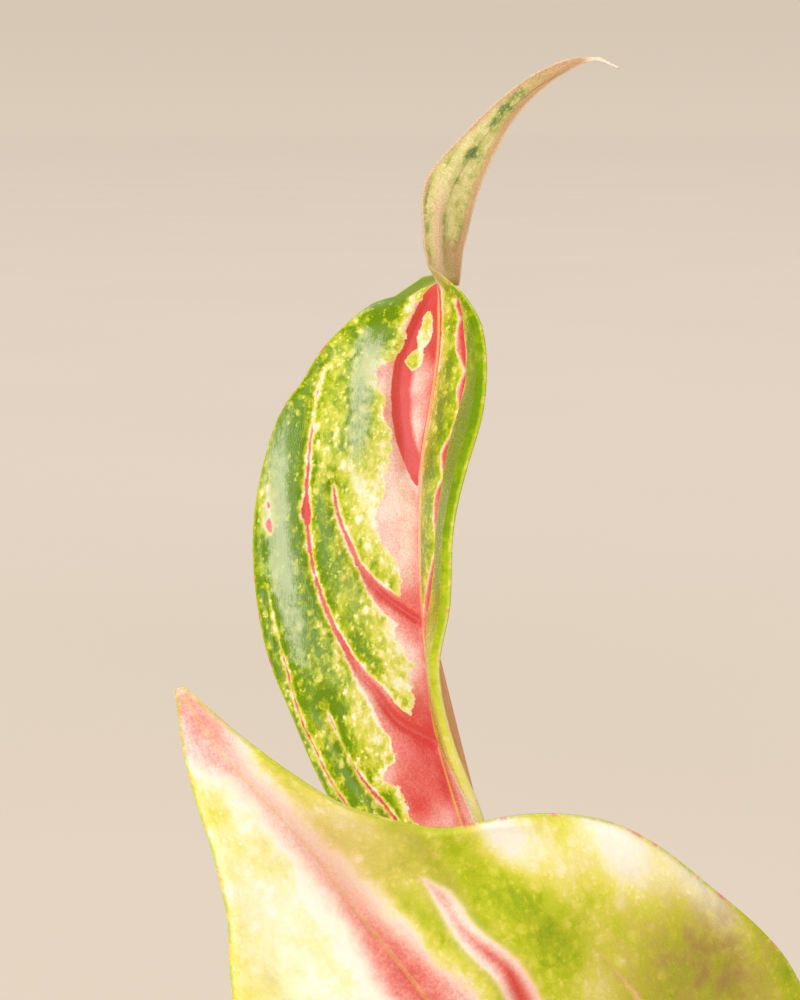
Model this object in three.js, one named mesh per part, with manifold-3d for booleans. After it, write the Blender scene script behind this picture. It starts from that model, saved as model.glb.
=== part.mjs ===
// Potted Chinese evergreen: a plain tapered pot, its soil, four short canes, their leaves and one furled leaf.
// Millimetres, +Z up, origin at the middle of the pot's flat underside.
// Every leaf is one closed skin: a clasping sheath, a stalk and a thin blade with a ridge under its midrib.
import * as THREE from "three";
import { mergeVertices } from "three/addons/utils/BufferGeometryUtils.js";
import Module from "manifold-3d";

const kernel = await Module();
kernel.setup();

// Pot and soil
const POT_SIDES = 48;
const POT_HEIGHT = 120;
const POT_PROFILE = [
  [0, 0], [44, 0], [46.4, 1], [47.6, 3.4], [64.2, 113], [64.9, 116.4], [65, 118.2],
  [64.2, 119.6], [62.8, POT_HEIGHT], [61.2, 119.6], [60.4, 118.2], [60, 115], [43, 9], [40, 6], [0, 6],
];
const SOIL_PROFILE = [[0, 6.3], [39.6, 6.3], [42.6, 9.3], [58.1, 105], [52, 105.8], [0, 107]];
const HOLE_FLOOR = 70;
const HOLE_SIDES = 24;
const GAP = 0.35;

// Canes: foot position, radius and top height
const CANES = {
  front: { x: 33, y: -29, radius: 5.6, top: 158 },
  centre: { x: 9, y: 5, radius: 6.2, top: 164 },
  left: { x: -29, y: -3, radius: 5.8, top: 160 },
  back: { x: 21, y: 36, radius: 5.4, top: 156 },
};
const CANE_SIDES = 14;
const CANE_WAIST = 0.4;
const FIRST_RING = 8;
const RING_STEP = 11;
const RING_BULGE = 0.35;
const BARE_TOP = 18;
// Growing point: how far below the cane's top, and how far inside its radius
const CANE_TIP = [[12, 0.4], [7, 1.4], [2, 3.2]];

// Leaf skin: half thicknesses, sheath, stalk radius at its foot and top, ridge under the midrib
const HALF_BLADE = 0.4;
const HALF_SHEATH = 0.7;
const SHEATH_RIM = 0.35;
const SHEATH_LENGTH = 20;
const SHEATH_WRAP = 54;
// Pitch of an ordinary leaf's sheath at its foot, its middle and its top
const SHEATH_PITCH = [[0, 87], [8, 82], [SHEATH_LENGTH, 72]];
const STALK_FOOT = 3.1;
const STALK_TOP = 2.1;
const RIDGE_WIDTH = [2.6, 0.9];
const RIDGE_DEPTH = [1.7, 0.15];
// Share of a blade's length over which it opens out of its stalk
const BLADE_ONSET = 0.06;
// Ordinary blades: bend of each half in degrees, share of the fold lost by the tip, and how far the ripples of
// one half run ahead of the other's
const HALF_BEND = -14;
const FOLD_LOSS = 0.45;
const RIPPLE_OFFSET = 0.4;

// Outline of an ordinary blade: how far along it, and half width as a share of the widest half
const BLADE_OUTLINE = [
  [0, 0.05], [0.03, 0.24], [0.08, 0.5], [0.15, 0.74], [0.25, 0.93], [0.36, 1], [0.47, 0.98],
  [0.58, 0.88], [0.68, 0.72], [0.78, 0.51], [0.87, 0.29], [0.94, 0.13], [1, 0.02],
];
const BLADE_STOPS = [0.03, 0.08, 0.16, 0.25, 0.34, 0.43, 0.52, 0.61, 0.7, 0.79, 0.87, 0.94, 1];
const STALK_STOPS = [0, 0.1, 0.2, 0.32, 0.55, 0.8];
// Places across each half of a leaf, from the midrib to the margin
const HALF_SHARES = [0, 0.09, 0.5, 1];
const NEAR_SHARES = [0, 0.08, 0.5, 1];
const UPRIGHT_SHARES = [0, 0.08, 0.3, 0.65, 1];
const FURLED_SHARES = [0, 0.4, 0.8, 1];
// Small steps that a leaf's path is followed in
const PATH_STEPS = 240;

// Ordinary leaves. foot: side of the cane where the sheath stands; turn: compass direction of the blade;
// from: height of the foot; stalk and blade: lengths; width: widest half; lean: pitch above the horizon at the
// stalk's middle and the blade's foot, middle and tip; swing: sideways bend of the blade; fold: lift of both
// halves; wave, beat and start: height, count and beginning of the margin's ripples; roll: twist
const LEAVES = [
  { name: "leaf_front_1", cane: "front", foot: -55, turn: -52, from: 110, stalk: 74, blade: 128, width: 27,
    lean: [46, 30, 2, -36], swing: 16, fold: 20, wave: 2.2, beat: 2.2, start: 0.1, roll: 6 },
  { name: "leaf_front_2", cane: "front", foot: -120, turn: -84, from: 134, stalk: 54, blade: 118, width: 25,
    lean: [34, 12, -12, -40], swing: -6, fold: 24, wave: 2, beat: 2.4, start: 0.5, roll: -8 },
  { name: "leaf_front_3", cane: "front", foot: -8, turn: -14, from: 134, stalk: 86, blade: 138, width: 28,
    lean: [58, 48, 24, -8], swing: -18, fold: 22, wave: 2.6, beat: 2, start: 0.8, roll: 10 },
  { name: "leaf_centre_1", cane: "centre", foot: -85, turn: -108, from: 134, stalk: 56, blade: 130, width: 27,
    lean: [40, 18, -6, -32], swing: 8, fold: 24, wave: 2.4, beat: 2.2, start: 0.3, roll: 4 },
  { name: "leaf_centre_2", cane: "centre", foot: 8, turn: 12, from: 110, stalk: 104, blade: 134, width: 28,
    lean: [52, 40, 14, -20], swing: 10, fold: 20, wave: 2.2, beat: 2.5, start: 0.6, roll: -6 },
  { name: "leaf_left_1", cane: "left", foot: 178, turn: 186, from: 134, stalk: 96, blade: 142, width: 29,
    lean: [64, 56, 36, 8], swing: -14, fold: 22, wave: 2.6, beat: 2.1, start: 0.2, roll: 8 },
  { name: "leaf_left_2", cane: "left", foot: 238, turn: 226, from: 110, stalk: 78, blade: 134, width: 28,
    lean: [50, 38, 8, -28], swing: 12, fold: 22, wave: 2.4, beat: 2.3, start: 0.7, roll: -6 },
  { name: "leaf_left_3", cane: "left", foot: 116, turn: 146, from: 110, stalk: 82, blade: 130, width: 27,
    lean: [50, 36, 8, -26], swing: -12, fold: 20, wave: 2.2, beat: 2.4, start: 0.4, roll: 6 },
  { name: "leaf_left_4", cane: "left", foot: 296, turn: 256, from: 134, stalk: 78, blade: 124, width: 26,
    lean: [56, 38, 10, -26], swing: -10, fold: 26, wave: 2, beat: 2.2, start: 0.9, roll: -10 },
  { name: "leaf_back_1", cane: "back", foot: 28, turn: 23, from: 134, stalk: 86, blade: 138, width: 28,
    lean: [54, 40, 14, -18], swing: 12, fold: 22, wave: 2.6, beat: 2, start: 0.5, roll: 6 },
  { name: "leaf_back_2", cane: "back", foot: 48, turn: 86, from: 110, stalk: 66, blade: 130, width: 27,
    lean: [42, 22, -6, -38], swing: -12, fold: 20, wave: 2.2, beat: 2.4, start: 0.1, roll: -6 },
  { name: "leaf_back_3", cane: "back", foot: 165, turn: 130, from: 110, stalk: 76, blade: 132, width: 27,
    lean: [44, 24, -2, -32], swing: 14, fold: 24, wave: 2.4, beat: 2.2, start: 0.7, roll: 8 },
];

const radians = (degrees) => degrees * Math.PI / 180;
const mix = (a, b, share) => a + (b - a) * share;
const ease = (value) => {
  const share = Math.min(1, Math.max(0, value));
  return share * share * (3 - 2 * share);
};

// Value of a table of [position, value, ...] rows at a position, with soft corners
function fromTable(table, at, column = 1) {
  const last = table.length - 1;
  let row = 0;
  while (row < last - 1 && at > table[row + 1][0]) row += 1;
  const before = table[Math.max(0, row - 1)];
  const low = table[row];
  const high = table[row + 1];
  const after = table[Math.min(last, row + 2)];
  const span = high[0] - low[0];
  const share = Math.min(1, Math.max(0, (at - low[0]) / span));
  const slopeLow = row === 0 ? (high[column] - low[column]) / span
    : (high[column] - before[column]) / (high[0] - before[0]);
  const slopeHigh = row === last - 1 ? (high[column] - low[column]) / span
    : (after[column] - low[column]) / (after[0] - low[0]);
  const square = share * share;
  const cube = square * share;
  return low[column] * (2 * cube - 3 * square + 1) + slopeLow * span * (cube - 2 * square + share)
    + high[column] * (3 * square - 2 * cube) + slopeHigh * span * (cube - square);
}

// Closed solid of revolution from a profile of [radius, height] rows that begins and ends on the axis
function turned(profile, sides) {
  const points = [];
  const faces = [];
  const rings = profile.slice(1, -1);
  for (const [radius, height] of rings) {
    for (let side = 0; side < sides; side += 1) {
      const angle = 2 * Math.PI * side / sides;
      points.push([radius * Math.cos(angle), radius * Math.sin(angle), height]);
    }
  }
  const first = points.push([0, 0, profile[0][1]]) - 1;
  const final = points.push([0, 0, profile[profile.length - 1][1]]) - 1;
  const top = (rings.length - 1) * sides;
  for (let side = 0; side < sides; side += 1) {
    const next = (side + 1) % sides;
    faces.push([first, next, side]);
    for (let ring = 0; ring < rings.length - 1; ring += 1) {
      const a = ring * sides + side;
      const b = ring * sides + next;
      faces.push([a, b, b + sides], [a, b + sides, a + sides]);
    }
    faces.push([top + side, top + next, final]);
  }
  return geometryOf(points, faces);
}

// Geometry that faces outward, from points and triangles
function geometryOf(points, faces) {
  let volume = 0;
  for (const [a, b, c] of faces) {
    const [p, q, r] = [points[a], points[b], points[c]];
    volume += p[0] * (q[1] * r[2] - q[2] * r[1]) + p[1] * (q[2] * r[0] - q[0] * r[2])
      + p[2] * (q[0] * r[1] - q[1] * r[0]);
  }
  const outward = volume > 0 ? faces : faces.map(([a, b, c]) => [a, c, b]);
  const geometry = new THREE.BufferGeometry();
  geometry.setAttribute("position", new THREE.Float32BufferAttribute(points.flat(), 3));
  geometry.setIndex(outward.flat());
  return geometry;
}

function solidOf(geometry) {
  const mesh = new kernel.Mesh({
    numProp: 3,
    vertProperties: new Float32Array(geometry.getAttribute("position").array),
    triVerts: new Uint32Array(geometry.getIndex().array),
  });
  mesh.merge();
  return new kernel.Manifold(mesh);
}

function geometryFromSolid(solid) {
  const mesh = solid.getMesh();
  const geometry = new THREE.BufferGeometry();
  geometry.setAttribute("position", new THREE.BufferAttribute(new Float32Array(mesh.vertProperties), 3));
  geometry.setIndex(new THREE.BufferAttribute(new Uint32Array(mesh.triVerts), 1));
  return mergeVertices(geometry, 1e-4);
}

// Soil: fills the pot to a little under its rim, with a plain blind hole for each cane
function soilGeometry() {
  let solid = solidOf(turned(SOIL_PROFILE, POT_SIDES));
  for (const cane of Object.values(CANES)) {
    const hole = kernel.Manifold.cylinder(POT_HEIGHT, cane.radius + GAP, cane.radius + GAP, HOLE_SIDES);
    solid = solid.subtract(hole.translate([cane.x, cane.y, HOLE_FLOOR]));
  }
  return geometryFromSolid(solid);
}

// Cane: a round stem with a low ring at every old leaf scar and a blunt growing point
function caneGeometry(cane) {
  const waist = cane.radius - CANE_WAIST;
  const profile = [[0, HOLE_FLOOR + GAP], [waist, HOLE_FLOOR + GAP]];
  for (let height = HOLE_FLOOR + FIRST_RING; height < cane.top - BARE_TOP; height += RING_STEP) {
    profile.push([waist, height], [waist + RING_BULGE, height + 1], [waist, height + 2]);
  }
  for (const [below, inside] of CANE_TIP) profile.push([cane.radius - inside, cane.top - below]);
  profile.push([0, cane.top]);
  const geometry = turned(profile, CANE_SIDES);
  geometry.translate(cane.x, cane.y, 0);
  return geometry;
}

// Path of an ordinary leaf: small steps up the stalk and along the blade, each with its own pitch and heading
function ordinaryPath(leaf) {
  const cane = CANES[leaf.cane];
  const [middle, foot, belly, tip] = leaf.lean;
  const total = leaf.stalk + leaf.blade;
  const pitches = [
    ...SHEATH_PITCH, [leaf.stalk * 0.62, middle], [leaf.stalk, mix(middle, foot, 0.6)],
    [leaf.stalk + leaf.blade * 0.12, foot], [leaf.stalk + leaf.blade * 0.5, belly], [total, tip],
  ];
  const length = total / PATH_STEPS;
  const reach = cane.radius + GAP + HALF_SHEATH;
  let heading = radians(leaf.foot);
  const place = new THREE.Vector3(
    cane.x + reach * Math.cos(heading), cane.y + reach * Math.sin(heading), leaf.from);
  const marks = [];
  for (let step = 0; step <= PATH_STEPS; step += 1) {
    const along = step * length;
    const pitch = radians(fromTable(pitches, along));
    const bend = ease((along - leaf.stalk * 0.7) / (total - leaf.stalk * 0.7));
    const veer = ease((along - 8) / (leaf.stalk * 0.8));
    heading = radians(mix(leaf.foot, leaf.turn, veer) + leaf.swing * bend);
    const out = new THREE.Vector3(Math.cos(heading), Math.sin(heading), 0);
    const tangent = out.clone().multiplyScalar(Math.cos(pitch)).add(new THREE.Vector3(0, 0, Math.sin(pitch)));
    const normal = out.clone().multiplyScalar(-Math.sin(pitch)).add(new THREE.Vector3(0, 0, Math.cos(pitch)));
    normal.applyAxisAngle(tangent, radians(leaf.roll) * ease((along - leaf.stalk * 0.6) / leaf.stalk));
    marks.push({ along, place: place.clone(), tangent, normal });
    place.addScaledVector(tangent, length);
  }
  return marks;
}

// Path through hand-placed points, with the direction that the upper face looks towards at each of them
function placedPath(points, facings) {
  const knots = points.map((point) => new THREE.Vector3(...point));
  const rows = [[0, ...points[0], ...facings[0]]];
  for (let index = 1; index < knots.length; index += 1) {
    const reached = rows[index - 1][0] + knots[index].distanceTo(knots[index - 1]);
    rows.push([reached, ...points[index], ...facings[index]]);
  }
  const total = rows[rows.length - 1][0];
  const places = [];
  for (let step = 0; step <= PATH_STEPS; step += 1) {
    const at = total * step / PATH_STEPS;
    places.push([1, 2, 3, 4, 5, 6].map((column) => fromTable(rows, at, column)));
  }
  const marks = [];
  let along = 0;
  for (let step = 0; step <= PATH_STEPS; step += 1) {
    const here = new THREE.Vector3(...places[step].slice(0, 3));
    const before = new THREE.Vector3(...places[Math.max(0, step - 1)].slice(0, 3));
    const after = new THREE.Vector3(...places[Math.min(PATH_STEPS, step + 1)].slice(0, 3));
    along += here.distanceTo(before);
    const tangent = after.sub(before).normalize();
    const facing = new THREE.Vector3(...places[step].slice(3));
    const normal = facing.addScaledVector(tangent, -facing.dot(tangent)).normalize();
    marks.push({ along, place: here, tangent, normal });
  }
  return marks;
}

// Mark of a path at a distance along it
function markAt(marks, along) {
  let index = 0;
  while (index < marks.length - 2 && marks[index + 1].along < along) index += 1;
  const low = marks[index];
  const high = marks[index + 1];
  const share = Math.min(1, Math.max(0, (along - low.along) / (high.along - low.along)));
  const tangent = low.tangent.clone().lerp(high.tangent, share).normalize();
  const facing = low.normal.clone().lerp(high.normal, share);
  const normal = facing.addScaledVector(tangent, -facing.dot(tangent)).normalize();
  return {
    place: low.place.clone().lerp(high.place, share),
    tangent,
    normal,
    right: tangent.clone().cross(normal),
  };
}

// One point of a half section, on the upper or lower skin. share: 0 at the midrib, 1 at the margin
function skinPoint(mark, section, side, share, upper) {
  const half = side > 0 ? section.right : section.left;
  const lift = half.lift + half.bend * share;
  let across = half.width * share;
  let up = 0;
  if (Math.abs(half.bend) < 1e-4) {
    up = across * Math.sin(half.lift);
    across *= Math.cos(half.lift);
  } else {
    const radius = half.width / half.bend;
    across = radius * (Math.sin(lift) - Math.sin(half.lift));
    up = radius * (Math.cos(half.lift) - Math.cos(lift));
  }
  let faceAcross = -side * Math.sin(lift);
  let faceUp = Math.cos(lift);
  if (share === 0) {
    faceAcross = (Math.sin(section.left.lift) - Math.sin(section.right.lift)) / 2;
    faceUp = (Math.cos(section.left.lift) + Math.cos(section.right.lift)) / 2;
    const size = Math.hypot(faceAcross, faceUp);
    faceAcross /= size;
    faceUp /= size;
  }
  const inRidge = Math.sqrt(Math.max(0, 1 - (half.width * share / section.ridgeWidth) ** 2));
  const thickness = mix(section.core, section.rim, share)
    + inRidge * (upper ? section.ridgeUp : section.ridgeDown);
  const shift = half.wave * share * share + (upper ? thickness : -thickness);
  return mark.place.clone()
    .addScaledVector(mark.right, side * across + faceAcross * shift)
    .addScaledVector(mark.normal, up + faceUp * shift);
}

// Closed skin from a path and its sections. stops: distances along the path; shares: places across each half
function leafGeometry(marks, stops, sectionAt, shares) {
  const points = [];
  const faces = [];
  const across = shares.length;
  const row = 2 * across - 1;
  const ring = 2 * row;
  for (const along of stops) {
    const mark = markAt(marks, along);
    const section = sectionAt(along);
    const places = shares.map((share, index) => mix(section.roundShares[index], share, section.flat));
    for (const upper of [true, false]) {
      const line = [];
      for (let index = across - 1; index > 0; index -= 1) {
        line.push(skinPoint(mark, section, -1, places[index], upper));
      }
      for (let index = 0; index < across; index += 1) {
        line.push(skinPoint(mark, section, 1, places[index], upper));
      }
      if (!upper) line.reverse();
      points.push(...line.map((point) => point.toArray()));
    }
  }
  for (let step = 0; step < stops.length - 1; step += 1) {
    for (let index = 0; index < ring; index += 1) {
      const a = step * ring + index;
      const b = step * ring + (index + 1) % ring;
      const c = b + ring;
      const d = a + ring;
      if (index < row) faces.push([a, b, c], [a, c, d]);
      else faces.push([a, b, d], [b, c, d]);
    }
  }
  const end = (stops.length - 1) * ring;
  for (let index = 0; index < row - 1; index += 1) {
    const below = ring - 1 - index;
    faces.push([index, below, index + 1], [index + 1, below, below - 1]);
    faces.push([end + index, end + index + 1, end + below], [end + index + 1, end + below - 1, end + below]);
  }
  return geometryOf(points, faces);
}

const roundShare = (index, count) => Math.sin(0.5 * Math.PI * index / (count - 1));

// Section of a sheath or stalk at a distance from the foot; it hugs the cane first, then becomes round
function stalkSection(along, stalk, reach, count) {
  const free = ease((along - SHEATH_LENGTH * 0.35) / (SHEATH_LENGTH * 0.95));
  const thick = mix(STALK_FOOT, STALK_TOP, ease(along / stalk));
  const wrap = radians(SHEATH_WRAP) * (1 - free);
  const width = mix(reach * radians(SHEATH_WRAP), thick, free);
  const half = { width, lift: 0, bend: wrap, wave: 0 };
  return {
    left: half,
    right: half,
    core: mix(HALF_SHEATH, HALF_BLADE, free),
    rim: mix(SHEATH_RIM, HALF_BLADE, free),
    ridgeWidth: width,
    ridgeUp: (thick - HALF_BLADE) * free,
    ridgeDown: (thick - HALF_BLADE) * free,
    roundShares: Array.from({ length: count }, (_, index) => roundShare(index, count)),
    flat: 1 - free,
  };
}

// Blends a stalk's section into a blade's over the blade's first part
function blendSections(stalk, blade, share) {
  const side = (from, to) => ({
    width: mix(from.width, to.width, share), lift: mix(from.lift, to.lift, share),
    bend: mix(from.bend, to.bend, share), wave: to.wave * share,
  });
  return {
    left: side(stalk.left, blade.left),
    right: side(stalk.right, blade.right),
    core: mix(stalk.core, blade.core, share),
    rim: mix(stalk.rim, blade.rim, share),
    ridgeWidth: mix(stalk.ridgeWidth, blade.ridgeWidth, share),
    ridgeUp: mix(stalk.ridgeUp, blade.ridgeUp, share),
    ridgeDown: mix(stalk.ridgeDown, blade.ridgeDown, share),
    roundShares: stalk.roundShares,
    flat: share,
  };
}

// Section of a blade. left and right: width, lift, bend and wave in millimetres and radians
function bladeSection(left, right, share) {
  return {
    left, right, core: HALF_BLADE, rim: HALF_BLADE,
    ridgeWidth: mix(...RIDGE_WIDTH, share), ridgeUp: 0, ridgeDown: mix(...RIDGE_DEPTH, Math.sqrt(share)),
  };
}

function ordinaryLeaf(leaf) {
  const marks = ordinaryPath(leaf);
  const reach = CANES[leaf.cane].radius + GAP + HALF_SHEATH;
  const sectionAt = (along) => {
    const share = Math.min(1, Math.max(0, (along - leaf.stalk) / leaf.blade));
    const stalk = stalkSection(along, leaf.stalk, reach, HALF_SHARES.length);
    if (share === 0) return stalk;
    const width = Math.max(0.5, leaf.width * fromTable(BLADE_OUTLINE, share));
    const calm = ease(share / 0.25) * ease((1 - share) / 0.15);
    const ripple = (phase) => {
      const beats = leaf.beat * share + leaf.start + phase;
      return leaf.wave * calm * Math.sin(2 * Math.PI * beats);
    };
    const lift = radians(leaf.fold) * (1 - FOLD_LOSS * share);
    const bend = radians(HALF_BEND) * calm;
    const left = { width, lift, bend, wave: ripple(0) };
    const right = { width, lift, bend, wave: ripple(RIPPLE_OFFSET) };
    return blendSections(stalk, bladeSection(left, right, share), ease(share / BLADE_ONSET));
  };
  const stops = [
    ...STALK_STOPS.map((share) => share * leaf.stalk),
    ...[0, ...BLADE_STOPS].map((share) => leaf.stalk + share * leaf.blade),
  ];
  return leafGeometry(marks, stops, sectionAt, HALF_SHARES);
}

// The upright leaf that stands above the rest, folded along its midrib, its tip pinched and turned over.
// Stalk first, then the midrib up to the tip
const UPRIGHT_PATH = [
  [9.5, 12.5, 134], [10, 13.4, 143], [10.6, 14.4, 154], [12.2, 15.4, 180], [12, 15, 210], [8.6, 14.2, 234],
  [4.8, 13.6, 249.3], [0.8, 14.2, 262.8], [-3.2, 15, 275.5], [-6.1, 15.8, 286.5], [-7.5, 16.8, 297.6],
  [-8.3, 17.8, 307.2], [-8.6, 19.3, 318.3], [-8.2, 20.9, 329.4], [-6.7, 22.2, 338.9], [-5.6, 23.6, 348.4],
  [-5.9, 25, 358.6], [-6.1, 26, 365.8], [-5, 26.9, 372.2], [-0.8, 27.9, 379.3], [4.8, 28.8, 385.6],
  [11.2, 29.5, 390.3], [18.4, 29.9, 393], [23.2, 29.7, 391.4],
];
const UPRIGHT_STALK = 116.6;
// Directions that the upper face looks towards, at the foot of a leaf and over its blade
const UPRIGHT_FOOT_FACING = [0, -1, 0];
const NEAR_FOOT_FACING = [0.87, -0.5, 0];
const BLADE_FACING = [0, -0.99, 0.14];
// Distance up the blade; left half: width, lift, bend; right half: width, lift, bend (degrees)
const UPRIGHT_SECTIONS = [
  [0, 2, 20, 0, 2, 30, 0],
  [4, 6, 10, 0, 6, 60, 0],
  [14, 13.4, 2, -8, 12.5, 75, 4],
  [27.5, 18.4, 0, -10, 18, 86.5, 2],
  [39, 21.8, -2, -10, 22, 85.5, 0],
  [50.5, 25.6, -3, -10, 25, 88, 0],
  [60, 27.2, -3, -10, 27, 83, 0],
  [71.5, 27.4, -2, -10, 28, 81.5, 0],
  [82.5, 25.2, 0, -10, 27.5, 78, -2],
  [92, 21.4, 0, -10, 25, 75, -3],
  [102, 16, -4, -10, 19, 73, -2],
  [108.5, 9.6, -24, -8, 11, 72, 4],
  [110.5, 7.6, -70, -6, 8, 82, 6],
  [112.5, 6.6, -116, -6, 5.4, 100, 6],
  [116, 6.3, -134, -4, 3.4, 130, 6],
  [119.5, 6.2, -142, -4, 3, 150, 6],
  [126, 5.8, -155, -4, 3.2, 178, 4],
  [134.5, 4.3, -162, -4, 1.9, 192, 4],
  [143, 2.6, -165, 0, 1.2, 195, 0],
  [151, 1.5, -167, 0, 1.1, 195, 0],
  [158.5, 0.9, -168, 0, 0.8, 195, 0],
  [163.5, 0.5, -168, 0, 0.5, 195, 0],
];
const UPRIGHT_STOPS = [
  0, 4, 9, 14, 21, 28, 36, 44, 52, 60, 68, 76, 84, 92, 98, 103, 107, 110, 112.5, 115.5, 119, 123, 128, 134, 141,
  148, 155, 163.5,
];

// The near leaf, that leans across the front of the plant. Stalk first, then the midrib up to the tip
const NEAR_PATH = [
  [27, -25.4, 110], [26, -24.8, 121], [24, -25.8, 135], [23, -30, 150], [23, -41, 169], [22.5, -57, 191],
  [20.5, -75, 210], [18, -89.5, 225], [13, -101.5, 242.5], [6.5, -112, 259.5], [-1, -120, 275],
  [-9, -126, 289], [-16.5, -128, 299.5], [-20.5, -129, 305.5], [-24.5, -130, 310.5],
  [-29, -130.5, 315.5], [-32, -131, 319.5], [-35, -131.5, 324.5],
];
const NEAR_STALK = 133;
const NEAR_SECTIONS = [
  [0, 2, 10, 0, 2, 10, 0],
  [6, 9, 12, 0, 9, 10, 0],
  [14, 18, 12, -6, 18, 8, -6],
  [26, 26.5, 12, -10, 27, 4, -8],
  [44, 32, 12, -12, 34, 0, -8],
  [60, 32.5, 10, -12, 36, 0, -8],
  [75, 28.5, 8, -12, 32, 0, -8],
  [83, 24, 6, -10, 28.5, -2, -8],
  [90, 19.5, 4, -8, 21.5, -4, -6],
  [98, 14, 4, -6, 11.5, 6, -2],
  [106, 10, 4, 0, 6.4, 30, 0],
  [117, 4.4, 4, 0, 3.6, 40, 0],
  [125, 0.5, 4, 0, 0.5, 30, 0],
];
const NEAR_STOPS = [0, 4, 9, 16, 25, 35, 45, 56, 66, 73, 79, 84, 88, 92, 98, 105, 113, 119, 125];

function placedLeaf(points, facings, stalkLength, sections, bladeStops, reach, shares) {
  const marks = placedPath(points, facings);
  const total = marks[marks.length - 1].along;
  const scale = (total - stalkLength) / sections[sections.length - 1][0];
  const sectionAt = (along) => {
    const up = Math.max(0, (along - stalkLength) / scale);
    const stalk = stalkSection(along, stalkLength, reach, shares.length);
    if (up === 0) return stalk;
    const value = (column) => fromTable(sections, up, column);
    const left = { width: value(1), lift: radians(value(2)), bend: radians(value(3)), wave: 0 };
    const right = { width: value(4), lift: radians(value(5)), bend: radians(value(6)), wave: 0 };
    const share = Math.min(1, up / sections[sections.length - 1][0]);
    return blendSections(stalk, bladeSection(left, right, share), ease(share / BLADE_ONSET));
  };
  const stops = [
    ...STALK_STOPS.map((share) => share * stalkLength),
    ...bladeStops.map((stop) => stalkLength + stop * scale),
  ];
  return leafGeometry(marks, stops, sectionAt, shares);
}

function uprightLeaf() {
  const facings = UPRIGHT_PATH.map((point, index) => (index < 3 ? UPRIGHT_FOOT_FACING : BLADE_FACING));
  const reach = CANES.centre.radius + GAP + HALF_SHEATH;
  return placedLeaf(
    UPRIGHT_PATH, facings, UPRIGHT_STALK, UPRIGHT_SECTIONS, UPRIGHT_STOPS, reach, UPRIGHT_SHARES);
}

function nearLeaf() {
  const facings = NEAR_PATH.map((point, index) => {
    const share = ease((index - 2) / 6);
    return NEAR_FOOT_FACING.map((value, axis) => mix(value, BLADE_FACING[axis], share));
  });
  const reach = CANES.front.radius + GAP + HALF_SHEATH;
  return placedLeaf(NEAR_PATH, facings, NEAR_STALK, NEAR_SECTIONS, NEAR_STOPS, reach, NEAR_SHARES);
}

// Furled young leaf: a slim rolled blade that stands on its own stalk behind the upright leaf
const FURLED_PATH = [
  [15.2, 39, 136], [14.9, 39.3, 147], [14.2, 40, 162], [11.8, 40.6, 196], [6.2, 40.6, 232], [-1.2, 40, 262],
  [-6.8, 40, 284], [-10, 40.2, 300], [-12, 40.6, 312],
];
const FURLED_LENGTH = 178;
// Distance along it, and its radius there
const FURLED_SECTIONS = [
  [0, 3], [20, 3], [34, 3.1], [52, 3.3], [90, 4], [120, 4.6], [146, 3.9], [164, 2.2], [FURLED_LENGTH, 0.6],
];
const FURLED_STOPS = [0, 5, 11, 18, 26, 50, 75, 95, 110, 125, 140, 152, 162, 171, FURLED_LENGTH];
const FURLED_FACING = [0.9, -0.43, 0];
const FURLED_HALF = 0.3;

function furledLeaf() {
  const marks = placedPath(FURLED_PATH, FURLED_PATH.map(() => FURLED_FACING));
  const total = marks[marks.length - 1].along;
  const reach = CANES.back.radius + GAP + HALF_SHEATH;
  const sectionAt = (along) => {
    const round = stalkSection(along, total, reach, FURLED_SHARES.length);
    const free = 1 - round.flat;
    const radius = fromTable(FURLED_SECTIONS, FURLED_LENGTH * along / total);
    const width = mix(round.left.width, radius, free);
    const half = { width, lift: 0, bend: round.left.bend, wave: 0 };
    const ridge = (radius - FURLED_HALF) * free;
    const core = mix(HALF_SHEATH, FURLED_HALF, free);
    const rim = mix(SHEATH_RIM, FURLED_HALF, free);
    return {
      ...round, left: half, right: half, core, rim, ridgeWidth: width, ridgeUp: ridge, ridgeDown: ridge,
    };
  };
  const stops = FURLED_STOPS.map((stop) => stop * total / FURLED_LENGTH);
  return leafGeometry(marks, stops, sectionAt, FURLED_SHARES);
}

const plant = new THREE.Group();
plant.name = "potted_chinese_evergreen";

function add(name, geometry, color, roughness) {
  const mesh = new THREE.Mesh(geometry, new THREE.MeshStandardMaterial({ color, roughness }));
  mesh.name = name;
  plant.add(mesh);
}

add("pot", turned(POT_PROFILE, POT_SIDES), 0xe8e3d9, 0.6);
add("soil", soilGeometry(), 0x4a3628, 0.95);
for (const [name, cane] of Object.entries(CANES)) add(`cane_${name}`, caneGeometry(cane), 0x9fae72, 0.6);
add("leaf_upright", uprightLeaf(), 0xc8696a, 0.4);
add("leaf_near", nearLeaf(), 0x9fbf5a, 0.4);
for (const leaf of LEAVES) add(leaf.name, ordinaryLeaf(leaf), 0x7fa845, 0.45);
add("leaf_furled", furledLeaf(), 0xc58a5a, 0.5);

export default plant;
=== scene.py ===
"""Potted Chinese evergreen: leaves, canes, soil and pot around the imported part, on a plain studio stage."""

import math
from collections import namedtuple

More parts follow.
